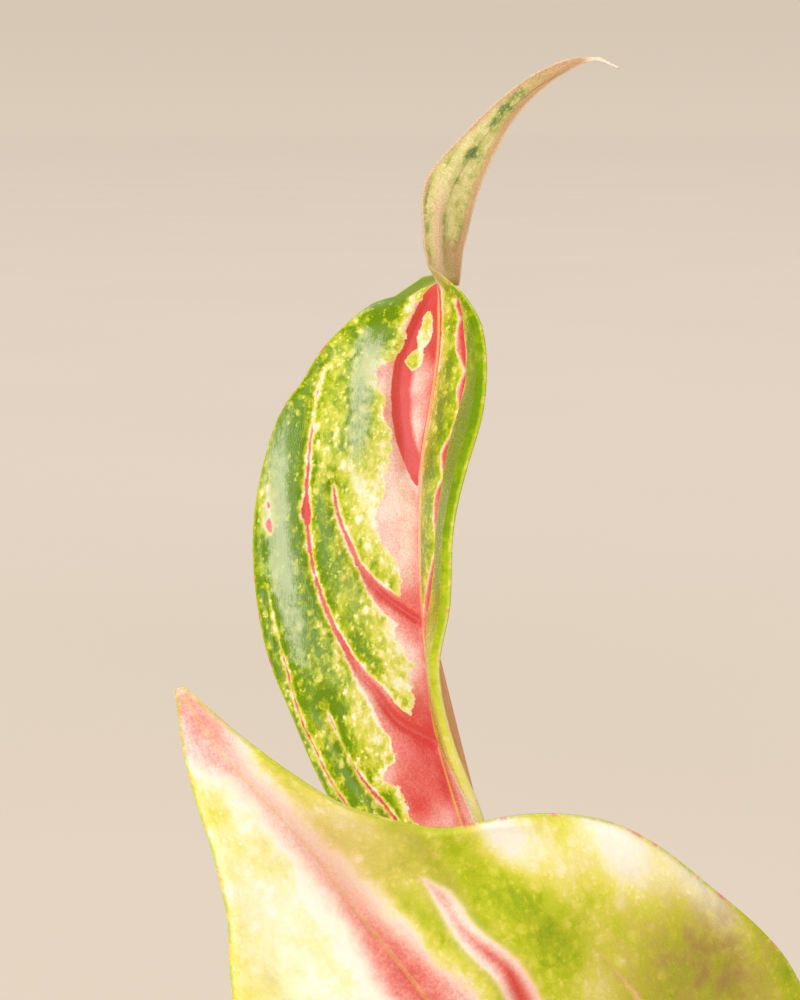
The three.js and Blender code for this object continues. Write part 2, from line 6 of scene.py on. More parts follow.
import bpy
import numpy as np
from bpy.props import FloatProperty, FloatVectorProperty, IntProperty, PointerProperty
from bpy.types import Operator, Panel, PropertyGroup
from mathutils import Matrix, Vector


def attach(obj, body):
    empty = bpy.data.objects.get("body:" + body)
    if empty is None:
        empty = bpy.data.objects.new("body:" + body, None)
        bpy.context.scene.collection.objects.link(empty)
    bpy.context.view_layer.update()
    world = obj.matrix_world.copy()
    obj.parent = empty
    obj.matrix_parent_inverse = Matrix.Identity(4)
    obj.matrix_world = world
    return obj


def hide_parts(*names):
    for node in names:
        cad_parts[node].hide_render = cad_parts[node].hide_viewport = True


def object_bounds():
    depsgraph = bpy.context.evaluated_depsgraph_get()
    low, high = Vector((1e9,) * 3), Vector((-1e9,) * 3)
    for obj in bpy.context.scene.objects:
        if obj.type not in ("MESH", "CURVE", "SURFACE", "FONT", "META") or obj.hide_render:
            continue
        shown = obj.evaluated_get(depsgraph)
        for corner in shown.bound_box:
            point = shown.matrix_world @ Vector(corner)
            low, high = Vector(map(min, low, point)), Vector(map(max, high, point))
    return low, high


bl_info = {
    "name": "Potted Chinese Evergreen",
    "version": (1, 0, 0),
    "blender": (4, 5, 0),
    "location": "3D View > Sidebar > Evergreen",
    "description": "Builds the leaves, canes, soil and pot of a potted Chinese evergreen",
    "category": "Object",
}

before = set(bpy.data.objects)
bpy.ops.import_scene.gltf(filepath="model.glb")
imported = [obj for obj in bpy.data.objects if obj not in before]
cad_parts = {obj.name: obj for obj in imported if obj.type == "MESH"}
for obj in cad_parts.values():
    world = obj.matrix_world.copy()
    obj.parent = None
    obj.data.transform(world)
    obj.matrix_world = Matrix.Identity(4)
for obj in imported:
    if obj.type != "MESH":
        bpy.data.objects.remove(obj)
CAD_BOX = [list(corner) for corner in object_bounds()]

MM = 0.001

# Canes: place of the axis, radius and height of the top, in millimetres as all sizes of plant and pot are
CANES = {
    "front": (33, -29, 5.6, 158),
    "centre": (9, 5, 6.2, 164),
    "left": (-29, -3, 5.8, 160),
    "back": (21, 36, 5.4, 156),
}
CANE_FOOT = 70
CANE_SIDES = 40
CANE_RINGS = 150
# Rounded top of a cane: distance in from its radius and down from its top
CANE_CROWN = [(0.9, 9), (1.6, 6), (2.6, 3.4), (3.7, 1.4), (4.6, 0.3)]
# Leaf scars: lowest one, distance between two, and how far below the cane's top they end
SCAR_START = 78
SCAR_SPACING = 11
SCAR_END = 18
GAP = 0.35

# Soil: level of its top, the rings of its top a millimetre apart, the wall down to its foot, where its waves
# end, how far it dips at the rim, the number of its waves, how far from the axis crumbs lie and how far they
# keep from a cane
SOIL_TOP = 106.0
SOIL_SIDES = 180
SOIL_RADII = np.linspace(0.6, 57.6, 58)
SOIL_WALL = [(57.9, 100), (42.4, 9.4), (39.4, 6.5)]
SOIL_EDGE = 58.2
SOIL_DIP = 1.4
SOIL_WAVES = 24
SOIL_SEED = 8
CRUMB_REACH = 54
CRUMB_CLEARANCE = 3

# Leaf skin: half thicknesses, the sheath's distance from its cane, length and wrap in degrees to each side,
# radius of the stalk at its foot and top, width and depth of the ridge under the midrib at foot and tip, the
# share of the blade over which it opens, bend across each half in degrees and how much of the fold is lost by
# the tip, how far apart the ripples of the two halves are, rounding of the fold along the midrib, and how
# much thinner the skin gets over the last part
HALF_BLADE = 0.26
HALF_RIM = 0.12
HALF_SHEATH = 0.55
SHEATH_RIM = 0.2
SHEATH_STAND = 0.7
SHEATH_LENGTH = 20
SHEATH_WRAP = 54
STALK_FOOT = 3.1
STALK_TOP = 2.1
RIDGE_WIDTH = (2.6, 0.9)
RIDGE_DEPTH = (1.7, 0.15)
BLADE_ONSET = 0.06
HALF_BEND = -14
FOLD_LOSS = 0.45
RIPPLE_OFFSET = 0.4
FOLD_RADIUS = 1.4
TIP_SHARE = 0.05
TIP_THINNING = 0.3

# Slope of a sheath: distance up the leaf, degrees
SHEATH_SLOPES = [(0, 87), (8, 82), (SHEATH_LENGTH, 72)]
# Small steps that a leaf's path is worked out in, and the smallest distance out from the midrib
ORDINARY_STEPS = 320
PLACED_STEPS = 240
LEAST_OUT = 1e-3
# Room between a skin laid out flat and the edge of its sheet
SHEET_MARGIN = 0.001

# Relief: widths of the rise beside a vein, of the groove along it and of the flat midrib, the half width of
# blade that has it in full, and how soon it starts from the blade's foot and from the margin
QUILT_WIDTH = 3.2
GROOVE_WIDTH = 0.7
MIDRIB_HALF = 0.6
RELIEF_ROOM = 20
RELIEF_ONSET = 8
RELIEF_MARGIN = 1.2

# Pattern measures: painted veins of one leaf, the distance and half width that stand for no vein, and the
# depth that stands for no trough
VEIN_SLOTS = 6
NO_VEIN = (40.0, -8.0)
NO_TROUGH = -9.0

# Outline of an ordinary blade: how far along it, and half width as a share of the widest half
BLADE_OUTLINE = [
    (0, 0.05), (0.03, 0.24), (0.08, 0.5), (0.15, 0.74), (0.25, 0.93), (0.36, 1), (0.47, 0.98),
    (0.58, 0.88), (0.68, 0.72), (0.78, 0.51), (0.87, 0.29), (0.94, 0.13), (1, 0.02),
]

# Ordinary leaves. Foot is the side of the cane that the sheath stands on, start its height, half_width the
# widest half of the blade. Pitch is the slope at the stalk's middle and the blade's foot, middle and tip.
# Swing bends the blade sideways, fold lifts its halves and roll twists it, in degrees. Wave, beat and phase
# are the height, count and start of the ripples along the margins.
Leaf = namedtuple("Leaf", (
    "name", "cane", "foot", "heading", "start", "stalk", "blade", "half_width", "pitch", "swing", "fold",
    "wave", "beat", "phase", "roll"))
LEAVES = [
    ("leaf_front_1", "front", -55, -52, 110, 74, 128, 27, (46, 30, 2, -36), 16, 20, 2.2, 2.2, 0.1, 6),
    ("leaf_front_2", "front", -120, -84, 134, 54, 118, 25, (34, 12, -12, -40), -6, 24, 2, 2.4, 0.5, -8),
    ("leaf_front_3", "front", -8, -14, 134, 86, 138, 28, (58, 48, 24, -8), -18, 22, 2.6, 2, 0.8, 10),
    ("leaf_centre_1", "centre", -85, -108, 134, 56, 130, 27, (40, 18, -6, -32), 8, 24, 2.4, 2.2, 0.3, 4),
    ("leaf_centre_2", "centre", 8, 12, 110, 104, 134, 28, (52, 40, 14, -20), 10, 20, 2.2, 2.5, 0.6, -6),
    ("leaf_left_1", "left", 178, 186, 134, 96, 142, 29, (64, 56, 36, 8), -14, 22, 2.6, 2.1, 0.2, 8),
    ("leaf_left_2", "left", 238, 226, 110, 78, 134, 28, (50, 38, 8, -28), 12, 22, 2.4, 2.3, 0.7, -6),
    ("leaf_left_3", "left", 116, 146, 110, 82, 130, 27, (50, 36, 8, -26), -12, 20, 2.2, 2.4, 0.4, 6),
    ("leaf_left_4", "left", 296, 256, 134, 78, 124, 26, (56, 38, 10, -26), -10, 26, 2, 2.2, 0.9, -10),
    ("leaf_back_1", "back", 28, 23, 134, 86, 138, 28, (54, 40, 14, -18), 12, 22, 2.6, 2, 0.5, 6),
    ("leaf_back_2", "back", 48, 86, 110, 66, 130, 27, (42, 22, -6, -38), -12, 20, 2.2, 2.4, 0.1, -6),
    ("leaf_back_3", "back", 165, 130, 110, 76, 132, 27, (44, 24, -2, -32), 14, 24, 2.4, 2.2, 0.7, 8),
]

# Pink band of an ordinary blade before its own spread: how far along the blade, and half width
ORDINARY_BAND = [
    (-0.03, 1.2), (0.06, 4), (0.16, 5.6), (0.28, 5.2), (0.4, 4.8), (0.52, 4.2), (0.66, 3.2), (0.8, 2.2),
    (0.92, 1.2), (1.0, 0.4),
]
# Stations up the stalk and up the blade, and steps across each half
ORDINARY_COUNTS = (26, 96, 19)
# Side veins of each half, the narrowest that a half gets, and how far apart two leaves' mottling is drawn
SIDE_VEINS = 8
TIP_WIDTH = 0.5
SEED_STEP = 37

# Upright leaf: stalk, then midrib up to the tip
UPRIGHT_PATH = [
    (9.5, 12.5, 134), (10, 13.4, 143), (10.6, 14.4, 154), (12.2, 15.4, 180), (12, 15, 210), (8.6, 14.2, 234),
    (4.8, 13.6, 249.3), (0.8, 14.2, 262.8), (-3.2, 15, 275.5), (-6.1, 15.8, 286.5), (-7.5, 16.8, 297.6),
    (-8.3, 17.8, 307.2), (-8.6, 19.3, 318.3), (-8.2, 20.9, 329.4), (-6.7, 22.2, 338.9), (-5.6, 23.6, 348.4),
    (-5.9, 25, 358.6), (-6.1, 26, 365.8), (-5, 26.9, 372.2), (-0.8, 27.9, 379.3), (4.8, 28.8, 385.6),
    (11.2, 29.5, 390.3), (18.4, 29.9, 393), (23.2, 29.7, 391.4),
]
UPRIGHT_STALK = 116.6
UPRIGHT_FACINGS = [(0, -1, 0)] * 3 + [(0, -0.99, 0.139)] * (len(UPRIGHT_PATH) - 3)
UPRIGHT_COUNTS = (44, 260, 44)
# How much the mottling is drawn together across the right half, which is seen edge-on
UPRIGHT_SQUEEZE = 0.55
# Distance up the blade; left half: width, lift, bend; right half: width, lift, bend (degrees)
UPRIGHT_SECTIONS = [
    (0, 2, 20, 0, 2, 30, 0),
    (4, 6, 10, 0, 6, 60, 0),
    (14, 13.4, 2, -8, 12.5, 75, 4),
    (27.5, 18.4, 0, -10, 19, 80, 2),
    (39, 21.8, -2, -10, 22, 85.5, 0),
    (50.5, 25.6, -3, -10, 25, 88, 0),
    (60, 27.2, -3, -10, 27, 83, 0),
    (71.5, 27.4, -2, -10, 28, 81.5, 0),
    (82.5, 25.2, 0, -10, 27.5, 78, -2),
    (92, 21.4, 0, -10, 25, 75, -3),
    (102, 17, 0, -10, 19, 73, -2),
    (106.5, 13.4, -6, -8, 13.6, 72, 2),
    (109.4, 9.4, -34, -6, 9.6, 76, 4),
    (110.6, 6.6, -104, -6, 7.6, 84, 6),
    (111.8, 5.4, -126, -6, 5, 100, 6),
    (113.8, 5.3, -134, -4, 2.6, 126, 6),
    (116, 5.6, -138, -4, 2.6, 140, 6),
    (119.5, 6.1, -143, -4, 2.5, 156, 6),
    (126, 5.8, -155, -4, 3.2, 178, 4),
    (134.5, 4.3, -162, -4, 1.9, 192, 4),
    (143, 2.6, -165, 0, 1.2, 195, 0),
    (151, 1.5, -167, 0, 1, 195, 0),
    (157, 0.7, -168, 0, 0.5, 195, 0),
    (160, 0.3, -168, 0, 0.3, 195, 0),
    (163.5, 0.14, -168, 0, 0.14, 195, 0),
]
# How far the upright leaf's margins are drawn up to the tip: distance up the blade, left and right rise
UPRIGHT_RAKE = [
    (108.5, 0, 0), (109.45, -0.3, 0), (110.1, 2.5, 0.4), (110.4, 3.3, 0.6), (110.75, 2, 0.9),
    (111.2, -0.8, 1), (112, -1.6, 1), (113.4, -1.2, 0.5), (115.4, 0, 0),
]
# Crest of the left half's red trough and the yellow island in it: distance up, distance out or half width
UPRIGHT_CREST = [
    (75.5, 0), (78, 1.5), (81, 3.1), (84, 4.7), (88, 6.2), (92, 7), (96.5, 7), (101, 6.1), (105, 4.5),
    (109, 2.3), (112, 0.6),
]
ISLAND_CENTRE = [(96, 4), (98, 3.6), (100.5, 2.8), (104, 2.1), (108, 1.2)]
ISLAND_HALF = [(95, -1), (96.4, 1.2), (98, 1.3), (99.6, 0.7), (101, 1), (105, 0.9), (107.4, -0.4), (108, -1)]
# Painted veins of the upright leaf: side, distance up the blade and out from the midrib, half widths
UPRIGHT_STRIPE = [
    (49, 0), (54, 2.6), (58, 5.4), (66, 13.4), (77, 14.8), (85, 13.8), (94.5, 14.6), (101, 11), (106.5, 9),
]
UPRIGHT_VEINS = [
    (-1, [(55.4, 0), (57.7, 3.1), (59.6, 5.5), (61.5, 7.5), (64, 9.3), (66, 10.5), (68.4, 11.6), (71.5, 13),
          (75.3, 14), (77.1, 14.3)],
     [(55, 2.3), (58, 1.9), (60.5, 1.4), (62.5, 0.95), (64.5, 0.5), (68, 0.35), (74, 0.25), (77, 0.15),
      (78.5, -1)]),
    (-1, [(36, 0), (38.4, 3), (40.1, 5.4), (42, 7.1), (45.2, 8.9), (47.7, 10.6), (50.8, 12.3), (53.9, 13.8),
          (57.1, 15.2), (60.5, 16.4), (65, 17.7), (67, 18), (73.7, 18.7), (81.7, 18.5), (89.4, 18.7),
          (94.1, 18.1)],
     [(36, 2.6), (40, 2.2), (43, 1.7), (46, 1.4), (49, 0.9), (52, 0.5), (56, 0.35), (66, 0.25), (71, 0.3),
      (73.6, 0.8), (76, 0.25), (84, 0.2), (87, -0.2), (90, 0.1), (94, -0.1), (97, -1)]),
    (-1, [(20, 8), (28.3, 11.1), (33.6, 13.7), (39, 15.8), (43, 17.1)],
     [(20, 0.1), (30, 0.3), (35, 0.2), (38, -0.2), (42, 0.1), (46, -1)]),
    (-1, [(18, 12.6), (34.5, 18.9), (38.9, 20.3), (42, 21.6), (45.8, 22.5), (50.2, 23.2), (53.9, 23.9),
          (61.9, 25.3)],
     [(18, 0.1), (34, 0.1), (44, 0.15), (50, 0.1), (56, -0.1), (61, -0.2), (64, -1)]),
    (1, UPRIGHT_STRIPE,
     [(49, 1.8), (56, 1.8), (64, 1.7), (68, 0.5), (72, 1.8), (76, 2), (79, 0.4), (83, 1.5), (86, 0.3),
      (90, 0.4), (93, 1.7), (96, 0.5), (99, 1.8), (102, 1.5), (104, 0.4), (106, 1), (110, -1)]),
    (-1, [(66, 24.6), (78, 25)],
     [(69, -1), (70, 0.2), (71.4, 0.6), (72.8, -0.4), (74.2, 0.4), (75.4, -0.4), (76, -1)]),
]
# Pink band beside the midrib of the upright leaf: distance up the blade, width on the left and on the right
UPRIGHT_BAND = [
    (-4, 1.2, 1), (8, 3.2, 5), (20, 6.2, 14), (27.6, 7.4, 15), (29.5, 8.4, 15), (33, 9.6, 13),
    (35.2, 7.3, 11), (37, 7.6, 8), (39.2, 7.4, 4), (41, 4, 2), (44, 3.2, 1.2), (46, 3.4, 1), (49, 2.9, 1),
    (51.4, 3.5, 1), (55, 4.6, 1.6), (58, 4.4, 1), (62, 3.1, 0.8), (65.5, 3.6, 0.8), (68, 6, 0.8),
    (71, 7.4, 0.9), (74, 7, 0.9), (80, 5.3, 0.9), (83, 5.2, 0.9), (86, 6.4, 0.9), (88.5, 8.6, 1),
    (90.5, 7.6, 1.2), (92, 7.9, 1.6), (94.7, 10.4, 1.7), (97.5, 6.9, 1.7), (102, 5.9, 1.7),
    (106.8, 3.8, 1.8), (109, 2.4, 2.6), (111.5, 1, 3), (113.5, -1.6, -1.6), (164, -3, -3),
]
# Patches on the upright leaf: distance up, signed distance out, half length, half width, strength
UPRIGHT_MARKS = {
    "cream": [
        (76, -9.5, 6, 2.8, 0.38), (63, -6.5, 3.5, 2.4, 0.2), (53, -5.8, 5, 1.8, 0.2),
        (45, -10.2, 4.5, 1.8, 0.14),
        (38, -11.2, 4, 2, 0.12), (96, -10.8, 2.5, 1.6, 0.2), (83, -8, 6, 1.8, 0.16), (96, -16, 8, 4, 0.14),
        (88, -17, 6, 3, 0.1), (55, -9, 5, 2, 0.1), (128, -3, 8, 2, 0.08), (72, -10, 14, 6, 0.06),
        (84, -14.5, 9, 3, 0.06), (95, 5, 12, 1.6, 0.14), (28, 16, 12, 4, 0.3), (34, 22, 16, 4, 0.24),
        (46, -8, 8, 3, 0.1), (34, -12, 10, 3, 0.06), (47, -5.6, 5, 2.2, 0.24), (57, -8.5, 4, 2, 0.14),
        (109.4, -5.6, 0.16, 3, 0.5), (109.2, -9, 0.14, 1.6, 0.4), (109.95, -6.4, 0.12, 1.2, 0.4),
        (51, 13.6, 9, 3, 0.2),
        (97.5, -3.7, 2, 1.4, 0.14), (103, -2.2, 4, 1, 0.1), (66, -13, 10, 2, 0.06),
        (119.5, -3.4, 2, 1, 0.3), (126.5, -2.4, 3, 1, 0.14), (132, 0, 22, 6, 0.17),
        (72.6, -24.9, 3, 1.4, 0.4),
        (82, -15, 12, 2.6, 0.06), (55, -16.6, 2.6, 1.1, 0.18), (50, -14.8, 4, 1.4, 0.18),
        (45.5, -12.8, 3.6, 1.8, 0.22), (41, -10.9, 3, 1.8, 0.2), (57, -12.6, 12, 2.4, 0.06),
        (34, -14, 8, 4, 0.05),
    ],
    "dark": [
        (60, -21.5, 16, 2.6, 0.1), (80, -22.6, 9, 2, 0.06), (67, -14.6, 9, 1.6, 0.08), (88, -12, 6, 2, 0.08),
        (43, -15, 6, 1.2, 0.05), (34, -15.4, 7, 1, 0.1), (104, -9.5, 5, 2, 0.08),
        (109.6, -6, 1.3, 5, 0.2), (66, 22, 16, 4, 0.08), (109.8, -7, 1.6, 5, 0.08),
        (88, 21, 8, 4, 0.06), (98, 16, 6, 3, 0.08), (75, 21, 26, 6, 0.1), (92, 9, 12, 3, 0.08),
        (144, 0.1, 1.3, 0.5, 0.3), (141.4, -0.1, 1.3, 0.5, 0.34), (138.6, -0.4, 1.3, 0.55, 0.4),
        (132.8, -0.8, 1.2, 0.7, 0.4), (135.6, 0.4, 2, 0.8, 0.08), (129.4, -2.8, 1, 0.5, 0.12),
        (124, -2.9, 0.8, 0.4, 0.26), (122.3, 2.4, 3, 0.3, 0.36), (118, 1.9, 2, 0.3, 0.1),
        (130, 1.4, 1.2, 0.5, 0.22), (127, -1.6, 0.9, 0.4, 0.24), (135, 1.6, 1, 0.4, 0.2),
        (121, -1.2, 4, 0.5, 0.06),
    ],
    # Silver patches lie where the window light's gloss shows: partly the leaf's silver tone, partly a painted
    # highlight
    "silver": [
        (100, -11, 5, 3.4, 0.6), (93, -11.5, 6, 3, 0.75), (84, -11, 5, 2.6, 0.6), (77, -9.5, 4, 2, 0.4),
        (77, -23.5, 12, 2.4, 0.85), (64, -22.4, 9, 2.6, 0.7), (54, -20.5, 6, 2.2, 0.55), (62, -10, 6, 2, 0.4),
        (92, 20, 8, 2.4, 0.3), (103, 12, 3, 2, 0.4),
    ],
    "dull": [(110.4, -6, 2.6, 9, 1.6)],
    "brown": [
        (113.5, -2, 4, 8, 0.4), (151, -1, 5, 2, 0.2), (24, 18, 8, 2, 0.5), (44, 7, 9, 6, 0.3),
        (51, 13.6, 8, 3, 0.34),
    ],
    "red": [
        (72.6, -25, 4, 2, -0.2), (34, -4, 8, 5, 0.45), (43, -2.5, 6, 4, 0.5), (58, -2, 4, 2.4, 0.35),
        (74, -18.8, 2.4, 1.4, 0.8), (27, -7, 3, 3, 0.4), (30, 4, 8, 4, 0.6), (66, -3, 9, 4, -0.1),
        # The mark at 88 up and 1.8 out on the left pales the trough's floor towards white: a painted sheen
        (88, -1.8, 7, 1.2, -0.2), (101, 1.2, 10, 1, 0.6), (75, -4, 5, 5, -0.2), (60, -4, 3, 3, 0.2),
        (48, -3.4, 5, 3, -0.45),
    ],
}

# Near leaf: stalk, then midrib up to the tip
NEAR_PATH = [
    (27, -25.4, 110), (26, -24.8, 121), (24, -25.8, 135), (23, -30, 150), (23, -41, 169), (22.5, -57, 191),
    (20.5, -75, 210), (18, -89.5, 225), (13, -101.5, 242.5), (6.5, -112, 259.5), (-1, -120, 275),
    (-9, -126, 289), (-16.5, -128, 299.5), (-20.5, -129, 305.5), (-24.5, -130, 310.5),
    (-29, -130.5, 315.5), (-32, -131, 319.5), (-35, -131.5, 324.5),
]
NEAR_STALK = 133
# Direction that the upper face looks towards, low on the stalk and from the blade on
NEAR_FACINGS = ((0.87, -0.5, 0), (0, -0.99, 0.14))
NEAR_COUNTS = (40, 170, 34)
# Sections, veins, band and patches of the near leaf have the columns of the upright leaf's
NEAR_SECTIONS = [
    (0, 2, 10, 0, 2, 10, 0),
    (6, 9, 12, 0, 9, 10, 0),
    (14, 18, 12, -6, 18, 8, -6),
    (26, 26.5, 12, -10, 27, 4, -8),
    (44, 32, 12, -12, 34, 0, -8),
    (60, 32.5, 10, -12, 36, 0, -8),
    (75, 28.5, 8, -12, 32, 0, -8),
    (83, 24, 6, -10, 28.5, -2, -8),
    (90, 19.5, 4, -8, 21.5, -4, -6),
    (98, 14, 4, -6, 11.5, 6, -2),
    (106, 10, 4, 0, 6.4, 30, 0),
    (117, 4.4, 4, 0, 3.6, 40, 0),
    (125, 0.5, 4, 0, 0.5, 30, 0),
]
NEAR_VEINS = [
    (-1, [(20, 0), (34, 9), (52, 17), (74, 20)], [(20, 3), (32, 1.4), (48, 0.6), (72, 0.3), (76, -1)]),
    (-1, [(46, 0), (60, 8), (76, 13), (96, 11.5)], [(46, 2.4), (56, 1), (72, 0.5), (90, 0.2), (92, -1)]),
    (-1, [(6, 0), (20, 13), (40, 24), (60, 27)], [(6, 2), (18, 0.8), (40, 0.5), (58, -1)]),
    (1, [(30, 0), (46, 12), (62, 19), (80, 18)], [(30, 3), (42, 1.2), (60, 0.6), (78, -1)]),
    (1, [(58, 0), (68, 6), (80, 8.8), (87, 7.6), (92, 8), (98, 7)],
     [(58, 2), (72, 1.6), (82, 1.2), (92, 0.6), (97, -1)]),
    (1, [(10, 0), (26, 15), (46, 27), (66, 30)], [(10, 2.4), (22, 0.9), (50, 0.5), (64, -1)]),
]
NEAR_BAND = [
    (-4, 1.4, 1.4), (10, 5, 5), (30, 6, 6), (50, 5.6, 5), (70, 4.6, 4.4), (84, 3.4, 3.6), (90, 2.4, 2.8),
    (96, 1.9, 1.4), (108, 1.2, 0.8), (116, 1, 1), (120, 3, 3), (125, 5, 5),
]
NEAR_MARKS = {
    # The broad cream patches on the left half, at 104, 80 and 40 up, are partly the leaf's cream and partly
    # painted light where the light from the left falls
    "cream": [
        (104, -7, 22, 8, 0.37), (80, -12, 18, 9, 0.28), (98, 5, 12, 3.4, 0.14), (107, 6, 5, 2, 0.2),
        (92.5, 16.5, 4, 2.6, 0.22), (88.5, 20.5, 4, 2.6, 0.18), (84.5, 25, 4, 2.6, 0.16),
        (86, 27, 9, 3, 0.4), (76, 32, 9, 3, 0.45), (95, 17.5, 6, 2.4, 0.4), (66, 10, 16, 6, 0.1),
        (40, -12, 18, 9, 0.14), (40, 12, 16, 9, 0.1), (80, 21, 10, 5, 0.1), (73, 16, 6, 4, 0.2),
    ],
    "dark": [
        (82, 14.5, 9, 2, 0.1), (78, 16, 4, 3, 0.06), (50, -26, 20, 5, 0.12), (50, 16, 12, 3, 0.12),
        (90, 4.4, 10, 1.6, 0.18),
    ],
    "red": [
        (86, -1, 10, 3, 0.26), (40, 0, 30, 5, 0.3), (108, 0, 10, 3, -0.2), (120, 0, 8, 6, -0.2),
        (79, 9, 3, 2, 0.25), (91, 8, 8, 2.4, -0.6),
    ],
    "brown": [(69, 27, 8, 8, 0.62), (96, 9.4, 8, 1, 0.3), (70, 22, 24, 14, 0.18), (61, 31, 6, 5, 0.3)],
    "tan": [(104, 1, 14, 2.6, 0.5), (104, 5, 8, 4, 0.3), (124, 1.4, 4, 1.6, 0.3)],
}

# Furled leaf: its path, and its radius along it
FURLED_PATH = [
    (15.2, 39, 136), (14.9, 39.3, 147), (14.2, 40, 162), (11.8, 40.6, 196), (6.2, 40.6, 232), (-1.5, 40, 262),
    (-6.4, 40, 284), (-9.4, 40.2, 300), (-11.2, 40.6, 312),
]
FURLED_RADIUS = [
    (0, 3), (20, 3), (34, 3.1), (52, 3.3), (90, 4), (120, 4.6), (146, 3.9), (164, 2.8), (178, 0.6),
]
FURLED_RINGS = 150
FURLED_SIDES = 48
FURLED_FACING = (0.9, -0.43, 0)
FURLED_LAP = 0.2

# Pot: distance from its axis and height, from the middle of its foot over the rim to its inner floor
POT_ROWS = 150
POT_PROFILE = [
    (0, 0), (44, 0), (46.4, 1), (47.6, 3.4), (64.2, 113), (64.9, 116.4), (65, 118.2),
    (64.2, 119.6), (62.8, 120), (61.2, 119.6), (60.4, 118.2), (60, 115), (43, 9), (40, 6), (0, 6),
]

# Corners and faces of a crumb before it is made uneven: a ball of twenty triangles
GOLDEN = (1 + math.sqrt(5)) / 2
CRUMB_CORNERS = np.array([
    (-1, GOLDEN, 0), (1, GOLDEN, 0), (-1, -GOLDEN, 0), (1, -GOLDEN, 0), (0, -1, GOLDEN), (0, 1, GOLDEN),
    (0, -1, -GOLDEN), (0, 1, -GOLDEN), (GOLDEN, 0, -1), (GOLDEN, 0, 1), (-GOLDEN, 0, -1), (-GOLDEN, 0, 1)])
CRUMB_RADIUS = 1.9
CRUMB_FACES = [
    (0, 11, 5), (0, 5, 1), (0, 1, 7), (0, 7, 10), (0, 10, 11), (1, 5, 9), (5, 11, 4), (11, 10, 2), (10, 7, 6),
    (7, 1, 8), (3, 9, 4), (3, 4, 2), (3, 2, 6), (3, 6, 8), (3, 8, 9), (4, 9, 5), (2, 4, 11), (6, 2, 10),
    (8, 6, 7), (9, 8, 1)]

# Stage, in metres: radius and sides of the floor, lens and place of the camera, and the point that lamps face
FLOOR_REACH = 80
FLOOR_SIDES = 96
CAMERA_LENS = 96.75
CAMERA_SENSOR = 36
CAMERA_PLACE = (-0.012, -0.4058, 0.38284)
CAMERA_TILT = 82
LAMP_AIM = Vector((0, 0.01, 0.27))
# Lamps: name, the setting with its strength, place, width and height, tint
LAMPS = [
    ("main_light", "key", (-0.95, -1.05, 0.7), (0.7, 0.7), (0.93, 0.97, 1)),
    ("window_light", "window", (-0.4, -1.22, 0.46), (0.75, 0.42), (0.9, 0.96, 1)),
    ("fill_light", "fill", (0.9, -0.5, 0.95), (0.9, 0.9), (0.93, 0.97, 1)),
    ("rear_light", "rear", (-0.1, 0.8, 1.2), (0.8, 0.8), (0.96, 0.98, 1)),
]

# How far light spreads inside a blade and inside a stalk, in red, green and blue
BLADE_GLOW = (0.5, 0.8, 0.2)
STALK_GLOW = (1.0, 0.6, 0.3)

# Colours that are not among the settings, as six-digit codes
TINTS = {
    "blade_white": "FAF4E6",
    # Silvery green of the painted highlight on the upper side
    "blade_silver": "CAD3AE",
    "blade_brown": "A98A4E",
    "blade_tan": "DDAE8E",
    "shaded_rim": "DAD09A",
    "back_dark": "5F8440",
    "back_green": "A4B252",
    "back_pale": "DED79A",
    "back_flush": "DCC09B",
    "back_vein": "C98F74",
    "back_keel": "DDB998",
    "back_margin": "F4DCC4",
    "back_fleck": "EBD6B8",
    "back_pore": "B08058",
    "tip_end": "EDDCC6",
    "stalk_streak": "C9B27A",
    "stalk_foot": "AFC07A",
    "stalk_fleck": "9DB45A",
    "furled_streak": "DDA27C",
    "furled_fleck": "A98F4E",
    "furled_foot": "C3BC86",
    "furled_seam": "E3A08C",
    "cane_patch": "A9AC74",
    "cane_crack": "7C7148",
    "soil_dark": "21170F",
    "soil_light": "553E2B",
    "soil_grain": "7A5C40",
    "glaze_cloud": "DDD2C1",
    "glaze_dot": "7F6A50",
    "pot_clay": "C9AE8C",
    "floor_cloud": "746C63",
    "floor_near": "C6BAAA",
    "floor_middle": "D2C6B8",
    "floor_far": "CABEAF",
    "wall_low": "DCCDBB",
    "wall_high": "D6C7B5",
}


def shade(code):
    """Scene colour of a six-digit colour code."""
    parts = [int(code[index:index + 2], 16) / 255 for index in (0, 2, 4)]
    return tuple(part / 12.92 if part <= 0.04045 else ((part + 0.055) / 1.055) ** 2.4 for part in parts)


def tint(name):
    return shade(TINTS[name])


def colour(label, note, code):
    return FloatVectorProperty(name=label, description=note, subtype="COLOR", size=3, min=0, max=1,
                               default=shade(code))


def length(label, note, metres):
    return FloatProperty(name=label, description=note, subtype="DISTANCE", unit="LENGTH", min=0,
                         default=metres, precision=4)


def power(label, note, watts):
    return FloatProperty(name=label, description=note, unit="POWER", default=watts)


class EvergreenLeafSettings(PropertyGroup):
    deep_green: colour("Deep green", "Darkest green between the spots", "6F9108")
    green: colour("Green", "Main green of the blades", "8FA90A")
    lime: colour("Lime", "Lime rim of every spot", "BDC61E")
    yellow: colour("Yellow", "Pale yellow heart of the spots", "E3DB5C")
    cream: colour("Cream", "Cream border of the pink areas", "F7EEBE")
    blush: colour("Blush", "Whitish pink inside the pink band", "FADFDA")
    pink: colour("Pink", "Soft pink along the midrib", "F1A79F")
    coral: colour("Coral", "Coral pink between the pink and the red", "E8776F")
    red: colour("Red", "Coral red of the veins", "DC4C4A")
    back: colour("Underside", "Pale khaki of the undersides", "CAC478")
    rim: colour("Rim", "Pinkish brown towards the rims of the undersides", "C4966F")
    stalk: colour("Stalk", "Pinkish cream of the stalks", "E2C3A2")
    furled: colour("Furled leaf", "Tan of the young rolled leaf", "C98F5E")
    quilting: length("Quilting", "Height of the blade between two veins", 0.0011)
    groove: length("Vein groove", "Depth of the groove along a vein", 0.0003)


